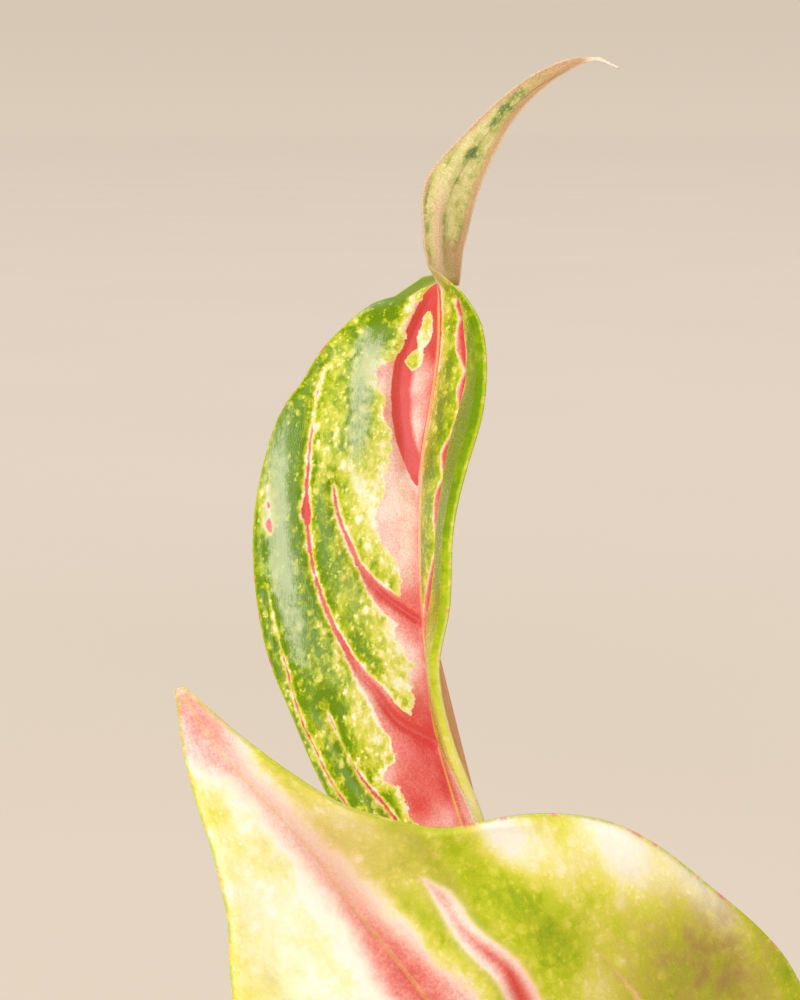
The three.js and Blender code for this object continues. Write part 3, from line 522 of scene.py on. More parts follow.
class EvergreenPotSettings(PropertyGroup):
    glaze: colour("Pot", "Warm white of the pot", "E9E2D6")
    speck: colour("Speckles", "Sandy speckles in the glaze", "A58D6C")
    sides: IntProperty(name="Pot sides", description="Faces round the pot", default=160, min=48, max=256)
    soil: colour("Soil", "Dark potting soil", "3B2A1E")
    bark: colour("Bark crumbs", "Lighter crumbs in the soil", "6E4E34")
    crumbs: IntProperty(name="Crumbs", description="Loose crumbs on the soil", default=420, min=0, max=1000)
    crumb_size: length("Crumb size", "Largest crumb on the soil", 0.0034)
    cane: colour("Cane", "Grey green of the canes", "8E9A5E")
    scar: colour("Leaf scars", "Tan of the old leaf scars", "B59A6A")


class EvergreenStageSettings(PropertyGroup):
    floor: colour("Floor", "Tint of the light that the pale floor gives back", "7A7269")
    key: power("Main light", "Strength of the large soft light", 14.6)
    window: power("Window light", "Strength of the light that the leaves mirror", 8.5)
    fill: power("Fill light", "Strength of the soft light at the right", 5)
    rear: power("Rear light", "Strength of the light behind", 7)


# Shapes


def mix(low, high, share):
    return low + (high - low) * share


def ease(value):
    """Soft step: 0 up to nought, 1 from one on."""
    share = np.clip(value, 0, 1)
    return share * share * (3 - 2 * share)


def through(table, at):
    """Soft curve through rows of position and values, at many positions: one column for each value."""
    rows = np.asarray(table, float)
    spots, values = rows[:, 0], rows[:, 1:]
    at = np.atleast_1d(np.asarray(at, float))
    slope = np.empty_like(values)
    slope[1:-1] = (values[2:] - values[:-2]) / (spots[2:] - spots[:-2])[:, None]
    slope[0] = (values[1] - values[0]) / (spots[1] - spots[0])
    slope[-1] = (values[-1] - values[-2]) / (spots[-1] - spots[-2])
    row = np.searchsorted(spots[1:-1], at, side="left")
    span = (spots[row + 1] - spots[row])[:, None]
    share = np.clip((at - spots[row])[:, None] / span, 0, 1)
    square, cube = share ** 2, share ** 3
    return (values[row] * (2 * cube - 3 * square + 1) + slope[row] * span * (cube - 2 * square + share)
            + values[row + 1] * (3 * square - 2 * cube) + slope[row + 1] * span * (cube - square))


def unit(vectors):
    return vectors / np.linalg.norm(vectors, axis=-1, keepdims=True)


def sheath_reach(cane):
    """Distance from a cane's axis to the middle of the sheaths round it."""
    return CANES[cane][2] + GAP + SHEATH_STAND


def ordinary_path(leaf):
    """Small steps up an ordinary leaf and along its blade: distance, place, direction and upward face."""
    stalk, blade = leaf.stalk, leaf.blade
    middle, base, belly, tip = leaf.pitch
    total = stalk + blade
    along = np.linspace(0, total, ORDINARY_STEPS + 1)
    slopes = [*SHEATH_SLOPES, (stalk * 0.62, middle), (stalk, mix(middle, base, 0.6)),
              (stalk + blade * 0.12, base), (stalk + blade * 0.5, belly), (total, tip)]
    pitch = np.radians(through(slopes, along)[:, 0])
    bend = ease((along - stalk * 0.7) / (total - stalk * 0.7))
    turn = ease((along - 8) / (stalk * 0.8))
    heading = np.radians(mix(leaf.foot, leaf.heading, turn) + leaf.swing * bend)
    out = np.stack([np.cos(heading), np.sin(heading), np.zeros_like(heading)], 1)
    rise = np.array([0, 0, 1.0])
    tangent = out * np.cos(pitch)[:, None] + rise * np.sin(pitch)[:, None]
    normal = -out * np.sin(pitch)[:, None] + rise * np.cos(pitch)[:, None]
    twist = (math.radians(leaf.roll) * ease((along - stalk * 0.6) / stalk))[:, None]
    normal = normal * np.cos(twist) + np.cross(tangent, normal) * np.sin(twist)
    centre_x, centre_y, *_ = CANES[leaf.cane]
    reach, side = sheath_reach(leaf.cane), math.radians(leaf.foot)
    first = np.array([centre_x + reach * math.cos(side), centre_y + reach * math.sin(side), leaf.start])
    place = first + np.vstack([np.zeros(3), np.cumsum(tangent[:-1] * total / ORDINARY_STEPS, axis=0)])
    return along, place, tangent, normal


def placed_path(points, facings):
    """Soft path through given points, with the direction that the upper face looks towards at each."""
    points = np.asarray(points, float)
    gaps = np.linalg.norm(np.diff(points, axis=0), axis=1)
    spots = np.concatenate([[0], np.cumsum(gaps)])
    rows = np.column_stack([spots, points, np.asarray(facings, float)])
    values = through(rows, np.linspace(0, spots[-1], PLACED_STEPS + 1))
    place, facing = values[:, :3], values[:, 3:]
    along = np.concatenate([[0], np.cumsum(np.linalg.norm(np.diff(place, axis=0), axis=1))])
    tangent = unit(np.vstack([place[1:2] - place[:1], place[2:] - place[:-2], place[-1:] - place[-2:-1]]))
    normal = unit(facing - tangent * np.sum(facing * tangent, 1, keepdims=True))
    return along, place, tangent, normal


def frames_at(path, along):
    """Place, upward face and right-hand direction of a path at many distances."""
    spots, *columns = path
    place, tangent, normal = (
        np.stack([np.interp(along, spots, column[:, axis]) for axis in range(3)], 1) for column in columns)
    tangent = unit(tangent)
    normal = unit(normal - tangent * np.sum(normal * tangent, 1, keepdims=True))
    return place, normal, np.cross(tangent, normal)


class LeafForm:
    """Everything that one leaf's skin is lofted from, at each of its stations."""

    def __init__(self, along, stalk_length, reach):
        self.along = along
        free = ease((along - SHEATH_LENGTH * 0.35) / (SHEATH_LENGTH * 0.95))
        thick = mix(STALK_FOOT, STALK_TOP, ease(along / stalk_length))
        width = mix(reach * math.radians(SHEATH_WRAP), thick, free)
        self.width = np.stack([width, width], 1)
        self.lift = np.zeros_like(self.width)
        self.bend = np.stack([math.radians(SHEATH_WRAP) * (1 - free)] * 2, 1)
        self.wave = np.zeros_like(self.width)
        self.core = mix(HALF_SHEATH, HALF_BLADE, free)
        self.rim = mix(SHEATH_RIM, HALF_RIM, free)
        self.squeeze = 1.0
        self.rake = np.zeros_like(self.width)
        self.ridge_width = width
        self.ridge_up = (thick - HALF_BLADE) * free
        self.ridge_down = self.ridge_up.copy()
        self.flat = 1 - free

    def open_blade(self, share, width, lift, bend, wave):
        """Blends the stalk into the blade over the blade's first part."""
        blend = ease(share / BLADE_ONSET)
        column = blend[:, None]
        self.width = mix(self.width, width, column)
        self.lift = mix(self.lift, lift, column)
        self.bend = mix(self.bend, bend, column)
        self.wave = wave * column
        self.ridge_width = mix(self.ridge_width, mix(*RIDGE_WIDTH, share), blend)
        self.ridge_up = mix(self.ridge_up, 0, blend)
        self.ridge_down = mix(self.ridge_down, mix(*RIDGE_DEPTH, np.sqrt(np.clip(share, 0, 1))), blend)
        taper = mix(TIP_THINNING, 1, ease((1 - share) / TIP_SHARE))
        self.core, self.rim, self.ridge_down = self.core * taper, self.rim * taper, self.ridge_down * taper
        self.flat = mix(self.flat, 1, blend)


def vein_fields(veins, up, out):
    """Signed distance to each painted vein and its painted half width, at many places of one leaf."""
    distance, width = (np.full((len(up), VEIN_SLOTS), none) for none in NO_VEIN)
    for index, (side, line, widths) in enumerate(veins):
        line = np.asarray(line, float)
        here = np.sign(out) == side
        offset = np.abs(out) - through(line, up)[:, 0]
        slope = through(line, up + 0.5)[:, 0] - through(line, up - 0.5)[:, 0]
        near = offset / np.sqrt(1 + slope ** 2)
        before = np.hypot(np.maximum(line[0, 0] - up, 0), offset) * np.where(offset < 0, -1, 1)
        near = np.where(up < line[0, 0], before, near)
        past = np.maximum(up - line[-1, 0], 0)
        near = np.where(up > line[-1, 0], np.hypot(near, past) * np.where(near < 0, -1, 1), near)
        distance[here, index] = near[here]
        widths = np.asarray(widths, float)
        width[here, index] = np.interp(up, widths[:, 0], widths[:, 1])[here]
    return distance, width


def patches(spots, up, out):
    """Sum of soft oval patches at many places of one leaf."""
    total = np.zeros(len(up))
    for centre_up, centre_out, half_length, half_width, strength in spots:
        away = ((up - centre_up) / half_length) ** 2 + ((out - centre_out) / half_width) ** 2
        total += strength * np.exp(-away)
    return total


def half_skin(form, side, frames, shares, ups, blade_length, paint, seed):
    """Upper and lower points of one half of a leaf, from its midrib out, and its pattern's measures."""
    place, normal, right = frames
    sign = 1 if side else -1
    width = form.width[:, side, None]
    reach = shares * width
    lift, other = form.lift[:, side, None], form.lift[:, 1 - side, None]
    angle = mix((lift - other) / 2, lift + form.bend[:, side, None] * shares, ease(reach / FOLD_RADIUS))
    stride = np.diff(reach, axis=1)
    middle = (angle[:, 1:] + angle[:, :-1]) / 2
    nought = np.zeros((len(reach), 1))
    across = np.hstack([nought, np.cumsum(stride * np.cos(middle), axis=1)])
    rise = np.hstack([nought, np.cumsum(stride * np.sin(middle), axis=1)])
    out = sign * np.maximum(reach, LEAST_OUT)
    fields = paint(ups.ravel(), out.ravel(), np.broadcast_to(width, reach.shape).ravel())
    relief = fields.pop("relief").reshape(reach.shape)
    relief *= ease(ups / RELIEF_ONSET) * ease((width - reach) / RELIEF_MARGIN)
    in_ridge = np.sqrt(np.clip(1 - (reach / form.ridge_width[:, None]) ** 2, 0, 1))
    half = mix(form.core[:, None], form.rim[:, None], shares ** 2)
    raked = form.rake[:, side, None] * shares ** 2
    skins = []
    for face, ridge in ((1, form.ridge_up), (-1, form.ridge_down)):
        shift = form.wave[:, side, None] * shares ** 2 + relief + (half + ridge[:, None] * in_ridge) * face
        sideways = sign * across - sign * np.sin(angle) * shift
        upward = rise + np.cos(angle) * shift
        skins.append(place[:, None] + right[:, None] * sideways[..., None]
                     + normal[:, None] * upward[..., None]
                     + np.cross(normal, right)[:, None] * raked[..., None])
    drawn = out.ravel() * (form.squeeze if side else 1)
    fields["leaf_place"] = np.stack([ups.ravel(), drawn, np.full(out.size, float(seed))], 1)
    rim = (width - reach).ravel()
    fields["leaf_edge"] = np.stack([rim, ups.ravel() / blade_length, np.zeros(out.size)], 1)
    return *skins, {key: value.reshape(*reach.shape, -1) for key, value in fields.items()}


def across_row(left, right):
    """Both halves side by side, from the left margin over the midrib to the right margin."""
    return np.concatenate([left[:, :0:-1], right], axis=1)


def there_and_back(upper, lower):
    """Ring round a leaf: along its upper side and back along its lower side."""
    return np.concatenate([upper, lower[:, ::-1]], axis=1)


def leaf_faces(along, blade_start, row):
    """Faces of a leaf's skin of rings of twice a row's points, and which of its three materials each has."""
    stations, ring = len(along), 2 * row
    upper, lower, stalk = range(3)
    kinds = np.full((stations - 1, ring), upper)
    kinds[:, row:ring - 1] = lower
    kinds[along[1:] <= blade_start] = stalk
    ends = []
    for start, turn in ((0, True), ((stations - 1) * ring, False)):
        for spot in range(row - 1):
            quad = [start + spot, start + spot + 1, start + ring - 2 - spot, start + ring - 1 - spot]
            ends.append(quad[::-1] if turn else quad)
    return bands(stations, ring) + ends, kinds.ravel().tolist() + [stalk] * (row - 1) + [lower] * (row - 1)


def loft_leaf(name, path, form, blade_start, blade_length, half_count, paint, seed, settings):
    """One closed leaf skin with its pattern's measures stored on its points."""
    along = form.along
    steps = np.linspace(0, 1, half_count + 1)
    shares = mix(np.sin(0.5 * math.pi * steps), steps, form.flat[:, None])
    ups = np.repeat((along - blade_start)[:, None], half_count + 1, 1)
    frames = frames_at(path, along)
    left, right = (
        half_skin(form, side, frames, shares, ups, blade_length, paint, seed) for side in (0, 1))
    upper, lower = (across_row(left[side], right[side]) for side in (0, 1))
    points = there_and_back(upper, lower).reshape(-1, 3)
    faces, kinds = leaf_faces(along, blade_start, upper.shape[1])
    obj = add_mesh(name, np.clip(points * MM, *CAD_BOX), faces)
    mesh = obj.data
    mesh.polygons.foreach_set("material_index", kinds)
    for key in left[2]:
        row = across_row(left[2][key], right[2][key])
        store(mesh, key, there_and_back(row, row).reshape(len(points), -1))
    unwrap_tube(mesh, 2 * upper.shape[1], len(along))
    for material in (leaf_material("leaf_top", settings), leaf_material("leaf_back", settings, back=True),
                     stalk_material(settings)):
        mesh.materials.append(material)
    return obj


def store(mesh, name, values):
    """Keeps one number or one vector for each point of a mesh."""
    if values.shape[1] == 3:
        mesh.attributes.new(name, "FLOAT_VECTOR", "POINT").data.foreach_set("vector", values.ravel())
    else:
        mesh.attributes.new(name, "FLOAT", "POINT").data.foreach_set("value", values.ravel())


def unwrap_tube(mesh, ring, stations):
    """Lays a ring-by-ring skin out flat; the last face of each band reaches past its first point."""
    corners = np.empty(len(mesh.loops), int)
    mesh.loops.foreach_get("vertex_index", corners)
    spots = np.stack([corners % ring / ring, corners // ring / (stations - 1)], 1)
    starts = np.empty(len(mesh.polygons), int)
    mesh.polygons.foreach_get("loop_start", starts)
    for start in starts[:(stations - 1) * ring][ring - 1::ring]:
        four = spots[start:start + 4]
        four[four[:, 0] < 0.25, 0] += 1
    spots = spots * (1 - 2 * SHEET_MARGIN) + SHEET_MARGIN
    mesh.uv_layers.new(name="OFBake").data.foreach_set("uv", spots.ravel())


def add_mesh(name, points, faces):
    """Smooth-shaded mesh object with its faces turned outward."""
    mesh = bpy.data.meshes.new(name)
    mesh.from_pydata(np.asarray(points).tolist(), [], faces)
    mesh.update()
    mesh.calc_loop_triangles()
    triangles = np.empty(len(mesh.loop_triangles) * 3, int)
    mesh.loop_triangles.foreach_get("vertices", triangles)
    first, second, third = np.asarray(points)[triangles.reshape(-1, 3)].transpose(1, 0, 2)
    if np.sum(first * np.cross(second, third)) < 0:
        mesh.flip_normals()
    mesh.polygons.foreach_set("use_smooth", [True] * len(mesh.polygons))
    obj = bpy.data.objects.new(name, mesh)
    bpy.context.scene.collection.objects.link(obj)
    return obj


def keep(obj, node):
    """The piece stands for a CAD node, which it hides, and rides on the part."""
    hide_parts(node)
    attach(obj, "root")


def bands(rings, sides):
    """Faces that join each ring of a skin to the next."""
    index = np.arange(rings * sides).reshape(rings, sides)
    low, high = index[:-1], index[1:]
    return np.stack([low, np.roll(low, -1, 1), np.roll(high, -1, 1), high], 2).reshape(-1, 4).tolist()


def round_angles(sides):
    return np.linspace(0, 2 * math.pi, sides, endpoint=False)


def closed_rings(radii, heights, first_height, final_height):
    """Points and faces of a closed solid of level or uneven rings, with a point on its axis at each end."""
    rings, sides = radii.shape
    angles = round_angles(sides)
    points = np.stack([radii * np.cos(angles), radii * np.sin(angles), heights], 2)
    points = np.vstack([points.reshape(-1, 3), [0, 0, first_height], [0, 0, final_height]])
    first, last, final = rings * sides, (rings - 1) * sides, rings * sides + 1
    steps = [(side, (side + 1) % sides) for side in range(sides)]
    faces = bands(rings, sides) + [[first, after, side] for side, after in steps]
    return points, faces + [[last + side, last + after, final] for side, after in steps]


def turned(profile, sides, wobble=None):
    """Points and faces of a closed solid of revolution; wobble moves the points of each ring outward."""
    rings = np.asarray(profile[1:-1], float)
    radii, heights = (np.repeat(rings[:, axis:axis + 1], sides, 1) for axis in range(2))
    if wobble is not None:
        radii = radii + wobble(round_angles(sides)[None], rings[:, 1:])
    return closed_rings(radii, heights, profile[0][1], profile[-1][1])


# Finishes


class Finish:
    """Adds the nodes of one material and wires them."""

    def __init__(self, name):
        self.material = bpy.data.materials.new(name)
        self.material.use_nodes = True
        self.tree = self.material.node_tree
        self.shader = next(node for node in self.tree.nodes if node.type == "BSDF_PRINCIPLED")

    def node(self, kind, inputs=(), **settings):
        made = self.tree.nodes.new(kind)
        for key, value in settings.items():
            setattr(made, key, value)
        for key, value in dict(inputs).items():
            self.feed(made.inputs[key], value)
        return made

    def feed(self, socket, value):
        if isinstance(value, bpy.types.NodeSocket):
            self.tree.links.new(value, socket)
        elif value is not None:
            if socket.type == "RGBA" and len(value) == 3:
                value = (*value, 1)
            socket.default_value = value

    def measure(self, name, output="Vector"):
        return self.node("ShaderNodeAttribute", attribute_name=name).outputs[output]

    def split(self, vector):
        return self.node("ShaderNodeSeparateXYZ", {0: vector}).outputs

    def sum(self, operation, *values):
        return self.node("ShaderNodeMath", enumerate(values), operation=operation).outputs[0]

    def vector(self, operation, *values):
        return self.node("ShaderNodeVectorMath", enumerate(values), operation=operation).outputs[0]

    def ranged(self, value, low, high, to_low=0.0, to_high=1.0):
        return self.node("ShaderNodeMapRange", enumerate((value, low, high, to_low, to_high)),
                         interpolation_type="SMOOTHSTEP").outputs[0]

    def noise(self, place, scale, detail=2.0, roughness=0.5, distortion=0.0):
        return self.node("ShaderNodeTexNoise", {
            "Vector": place, "Scale": scale, "Detail": detail, "Roughness": roughness,
            "Distortion": distortion}).outputs["Fac"]

    def spots(self, place, scale, low, high):
        """Round spots of uneven strength, each fading from its heart to its rim."""
        cells = self.node("ShaderNodeTexVoronoi", {"Vector": place, "Scale": scale})
        heart = self.ranged(cells.outputs["Distance"], low, high, 1.0, 0.0)
        return self.sum("MULTIPLY", heart, self.split(cells.outputs["Color"])[0])

    def sway(self, value, share):
        """A noise value, moved to swing evenly about nought."""
        return self.sum("MULTIPLY", self.sum("SUBTRACT", value, 0.5), share)

    def total(self, first, *others):
        for other in others:
            first = self.sum("ADD", first, other)
        return first

    def ramp(self, factor, stops):
        made = self.node("ShaderNodeValToRGB", {0: factor})
        band = made.color_ramp
        while len(band.elements) < len(stops):
            band.elements.new(0.5)
        for element, (spot, paint) in zip(band.elements, stops):
            element.position = spot
            element.color = (*paint, 1)
        return made.outputs["Color"]

    def blend(self, factor, low, high):
        made = self.node("ShaderNodeMix", data_type="RGBA")
        for key, value in ((0, factor), (6, low), (7, high)):
            self.feed(made.inputs[key], value)
        return made.outputs[2]

    def over(self, skin, paint, *ranged):
        """Lays a colour over the skin where a value lies in a range."""
        return self.blend(self.ranged(*ranged), skin, paint)

    def bump(self, height, strength, distance, under=None):
        return self.node("ShaderNodeBump", {
            "Height": height, "Strength": strength, "Distance": distance, "Normal": under}).outputs["Normal"]

    def surface(self, **values):
        for key, value in values.items():
            self.feed(self.shader.inputs[key.replace("_", " ").title().replace("Ior", "IOR")], value)
        return self.material


def made_once(name):
    return bpy.data.materials.get(name)


class BladeFinish(Finish):
    """Finish of one side of a blade, painted from the measures on its points and from noises."""

    def __init__(self, name, settings):
        super().__init__(name)
        self.settings = settings
        self.place = self.measure("leaf_place")
        self.up, self.out, _ = self.split(self.place)
        self.aside = self.sum("ABSOLUTE", self.out)
        self.band, self.paleness, self.red = self.split(self.measure("leaf_tone"))
        self.rim, self.share, _ = self.split(self.measure("leaf_edge"))
        self.calm, self.brown, self.tan = self.split(self.measure("leaf_hue"))
        self.trough, self.silver, self.dull = self.split(self.measure("leaf_sheen"))
        self.coarse = self.noise(self.place, 0.22, 3, 0.6)
        self.fine = self.noise(self.place, 1.1, 3, 0.6)
        self.grain = self.noise(self.place, 2.6, 3, 0.7)
        self.drawn_out = self.vector("MULTIPLY", self.place, (0.8, 1.0, 1.0))
        self.mottle = self.noise(self.drawn_out, 0.5, 3, 0.6, 0.3)
        self.streak = self.noise(self.vector("MULTIPLY", self.place, (0.5, 3.2, 1.0)), 1.6, 3, 0.6)
        self.uneven = self.sum("MULTIPLY", self.fine, 0.5)

    def calmed(self, least):
        """One where the leaf is mottled sharply, and less where its pattern is calm."""
        return self.ranged(self.calm, 0.0, 1.0, 1.0, least)

    def least(self, pair):
        """Smallest of the six numbers of two vectors."""
        first, second, third = self.split(self.vector("MINIMUM", *pair))
        return self.sum("MINIMUM", self.sum("MINIMUM", first, second), third)

    def pink_distances(self):
        """Millimetres outside the painted veins and outside the pink band, and away from the nearest vein."""
        lines = [self.vector("ABSOLUTE", self.measure(f"veins_{half}")) for half in "ab"]
        outside = [self.vector("SUBTRACT", line, self.measure(f"widths_{half}"))
                   for line, half in zip(lines, "ab")]
        frayed = self.sum("MULTIPLY", self.sway(self.fine, 1.0), self.calmed(0.1))
        band = self.total(self.band, self.sway(self.coarse, 5.0), self.sum("MULTIPLY", frayed, 2.2))
        return self.sum("ADD", self.least(outside), frayed), band, self.least(lines)

    def mottling(self, vein, band, outside):
        """How pale the ground is: spots of two sizes on clouds, and paler beside all that is pink."""
        cloud = self.noise(self.place, 0.12, 2, 0.5)
        shifted = self.vector("ADD", self.drawn_out, self.sway(self.fine, 1.6))
        large = self.spots(shifted, 0.62, 0.1, 0.54)
        small = self.spots(shifted, 1.3, 0.1, 0.5)
        pattern = self.total(self.sway(self.mottle, 1.0), self.sum("MULTIPLY", large, 0.4),
                             self.sum("MULTIPLY", small, 0.36), self.sway(self.grain, 0.3), -0.09)
        pattern = self.sum("MULTIPLY", pattern, self.calmed(0.2))
        pattern = self.sum("MULTIPLY_ADD", self.calm, 0.16, pattern)
        border = self.sum("MAXIMUM", self.ranged(vein, 0.0, 0.9, 0.34, 0.0),
                          self.ranged(band, 0.0, 3.4, 0.36, 0.0))
        border = self.sum("ADD", border, self.ranged(outside, 0.0, 0.5, 0.12, 0.0))
        return self.total(pattern, self.sway(cloud, 0.22), border, self.paleness, 0.4)

    def heat(self, line):
        """How red the pink areas are: most in the trough, along a vein and along the midrib; the trough's
        deep red wall under the crest is partly the leaf's red and partly painted shade.
        """
        depth = self.sum("ADD", self.trough, self.sway(self.fine, 0.5))
        # Deep red from the crest 2.5 mm inward, then pale pink on the trough's floor: the leaf's red,
        # deepened as painted shade on the steep wall and paled as painted sheen on the floor
        trough = self.sum("MULTIPLY", self.ranged(depth, -0.14, 0.14),
                          self.ranged(depth, 2.5, 3.6, 0.85, 0.1))
        return self.total(self.red, self.ranged(line, 0.1, 1.3, 0.5, 0.0),
                          self.ranged(self.aside, 0.3, 2.4, 0.15, 0.0), self.sway(self.grain, 0.9),
                          self.sway(self.coarse, 0.9), trough, 0.26)

    def silvered(self, ground):
        """Silvery green in streaks: partly the leaf's own silver tone, partly a painted highlight of the
        window light's gloss.
        """
        silver = self.total(self.silver, self.sway(self.mottle, 0.9), self.sway(self.streak, 0.9),
                            self.sway(self.grain, 0.5))
        return self.over(ground, tint("blade_silver"), silver, 0.3, 0.85, 0.0, 0.75)

    def top_details(self, skin):
        """Margin in lime, yellow and coral, yellow midrib, and tan at the pinch."""
        rim = self.ramp(self.noise(self.place, 0.4, 2, 0.5), [
            (0.5, self.settings.lime), (0.56, self.settings.yellow), (0.64, self.settings.coral)])
        low = self.sum("MULTIPLY", self.ranged(self.up, 48.0, 66.0, 0.75, 0.0),
                       self.ranged(self.out, -1.0, 1.0))
        rim = self.blend(low, rim, tint("shaded_rim"))
        skin = self.over(skin, rim, self.sum("ADD", self.rim, self.uneven), 0.35, 0.75, 0.75, 0.0)
        rib = self.sum("MULTIPLY", self.ranged(self.aside, 0.16, 0.36, 0.55, 0.0), self.calmed(0.3))
        skin = self.blend(rib, skin, self.settings.yellow)
        return self.blend(self.sum("ABSOLUTE", self.tan), skin, tint("blade_tan"))

    def back_details(self, skin):
        """Pinkish brown towards margins and tip, pale keel, margin and end of the tip, fine speckles."""
        brown = self.settings.rim
        skin = self.blend(self.sum("MAXIMUM", self.tan, 0.0), skin, brown)
        off_rim = self.total(self.rim, self.sway(self.coarse, 1.4), self.uneven,
                             self.ranged(self.out, -1.0, 1.0, -0.7, 0.0))
        skin = self.over(skin, brown, off_rim, 0.3, 1.3, 0.85, 0.0)
        near_tip = self.sum("ADD", self.share, self.sway(self.coarse, 0.1))
        skin = self.over(skin, brown, near_tip, 0.87, 0.95, 0.0, 0.75)
        keel = self.sum("MULTIPLY", self.ranged(self.aside, 0.3, 1.0, 0.8, 0.0),
                        self.ranged(self.share, 0.74, 0.79, 1.0, 0.0))
        skin = self.blend(keel, skin, tint("back_keel"))
        skin = self.over(skin, tint("back_margin"), self.rim, 0.08, 0.34, 0.5, 0.0)
        speckle = self.noise(self.place, 5.0, 2, 0.6)
        skin = self.over(skin, tint("back_fleck"), speckle, 0.5, 0.66, 0.0, 0.35)
        skin = self.over(skin, tint("back_pore"), speckle, 0.34, 0.5, 0.45, 0.0)
        return self.over(skin, tint("tip_end"), self.share, 0.955, 0.97, 0.0, 1.0)


def leaf_material(name, settings, back=False):
    """Mottled blade: pink veins and midrib with a cream border in a green ground with pale spots."""
    if made_once(name):
        return made_once(name)
    finish = BladeFinish(name, settings)
    vein, band, line = finish.pink_distances()
    outside = finish.sum("MINIMUM", vein, band)
    pale = finish.mottling(vein, band, outside)
    heat = finish.heat(line)
    if back:
        ground = finish.ramp(pale, [
            (0.26, tint("back_dark")), (0.38, tint("back_green")), (0.52, settings.back),
            (0.78, tint("back_pale"))])
        flush = finish.ramp(heat, [(0.1, tint("back_flush")), (0.8, tint("back_vein"))])
    else:
        # Upper side: streaks of painted highlight in silvery green over the mottled ground
        ground = finish.silvered(finish.ramp(pale, [
            (0.3, settings.deep_green), (0.41, settings.green), (0.53, settings.lime),
            (0.69, settings.yellow), (0.87, settings.cream), (1.0, tint("blade_white"))]))
        flush = finish.ramp(heat, [
            (0.0, settings.blush), (0.32, settings.pink), (0.6, settings.coral), (0.88, settings.red)])
    soft = finish.ranged(finish.calm, 0.0, 1.0, 0.16, 1.6)
    inside = finish.ranged(finish.sum("DIVIDE", outside, soft), -1.0, 1.0, 0.8 if back else 1.0, 0.0)
    skin = finish.blend(inside, ground, flush)
    brown = finish.sum("MULTIPLY", finish.brown, finish.ranged(finish.mottle, 0.25, 0.7, 0.45, 1.3))
    skin = finish.blend(brown, skin, tint("blade_brown"))
    skin = finish.back_details(skin) if back else finish.top_details(skin)
    from_stem = finish.sum("ADD", finish.up, finish.sum("MULTIPLY", finish.aside, 2.0))
    skin = finish.over(skin, settings.stalk, from_stem, -2.0, 9.0, 1.0, 0.0)

    pores = finish.noise(finish.place, 5.5, 2, 0.6)
    normal = finish.bump(pores, 0.25, 0.00016)
    normal = finish.bump(finish.streak, 0.3, 0.0003, normal)
    normal = finish.bump(finish.mottle, 0.25, 0.0004, normal)
    if back:
        roughness = finish.ranged(pores, 0.3, 0.7, 0.5, 0.66)
    else:
        roughness = finish.ranged(pores, 0.3, 0.7, 0.2, 0.32)
        roughness = finish.sum("MULTIPLY_ADD", finish.ranged(finish.dull, 0.0, 1.0), 0.6, roughness)
    return finish.surface(
        base_color=skin, roughness=roughness, normal=normal, subsurface_weight=0.15,
        subsurface_radius=BLADE_GLOW, subsurface_scale=0.001, specular_ior_level=0.25 if back else 0.32)


def stalk_material(settings):
    """Smooth stalk: pinkish cream, greener and streaked towards the sheath."""
    if made_once("leaf_stalk"):
        return made_once("leaf_stalk")
    finish = Finish("leaf_stalk")
    place = finish.measure("leaf_place")
    up = finish.split(place)[0]
    streak = finish.noise(finish.vector("MULTIPLY", place, (0.12, 2.2, 1.0)), 1.0, 4, 0.6)
    fleck = finish.noise(place, 1.6, 3, 0.6)
    ragged_up = finish.sum("ADD", up, finish.sum("MULTIPLY", fleck, 30.0))
    skin = finish.over(settings.stalk, tint("stalk_streak"), streak, 0.42, 0.62, 0.0, 0.55)
    skin = finish.over(skin, tint("stalk_foot"), ragged_up, -70.0, -30.0, 0.75, 0.0)
    skin = finish.over(skin, tint("stalk_fleck"), fleck, 0.56, 0.66, 0.0, 0.5)
    normal = finish.bump(streak, 0.35, 0.0003)
    roughness = finish.ranged(fleck, 0.3, 0.7, 0.36, 0.52)
    return finish.surface(base_color=skin, roughness=roughness, normal=normal, subsurface_weight=0.15,
                          subsurface_radius=STALK_GLOW, subsurface_scale=0.002)


def furled_material(settings):
    """Young rolled leaf: tan with long streaks, a pink seam and a greener foot."""
    finish = Finish("furled_skin")
    place = finish.measure("leaf_place")
    up = finish.split(place)[0]
    streak = finish.noise(finish.vector("MULTIPLY", place, (0.05, 1.0, 1.0)), 1.2, 4, 0.6)
    fleck = finish.noise(place, 0.9, 3, 0.6)
    skin = finish.over(settings.furled, tint("furled_streak"), streak, 0.38, 0.66)
    skin = finish.over(skin, tint("furled_fleck"), fleck, 0.55, 0.7, 0.0, 0.5)
    skin = finish.over(skin, tint("furled_foot"), up, 50.0, 110.0, 1.0, 0.0)
    skin = finish.over(skin, tint("furled_seam"), finish.measure("leaf_seam", "Fac"), 0.0, 0.5, 0.8, 0.0)
    normal = finish.bump(streak, 0.4, 0.0004)
    roughness = finish.ranged(fleck, 0.3, 0.7, 0.38, 0.56)
    return finish.surface(base_color=skin, roughness=roughness, normal=normal, subsurface_weight=0.2,
                          subsurface_radius=STALK_GLOW, subsurface_scale=0.002)


def object_place(finish, scale=1 / MM):
    """Place on the piece, in millimetres unless the scale says otherwise."""
    place = finish.node("ShaderNodeTexCoord").outputs["Object"]
    return finish.node("ShaderNodeVectorMath", {0: place, "Scale": scale}, operation="SCALE").outputs[0]


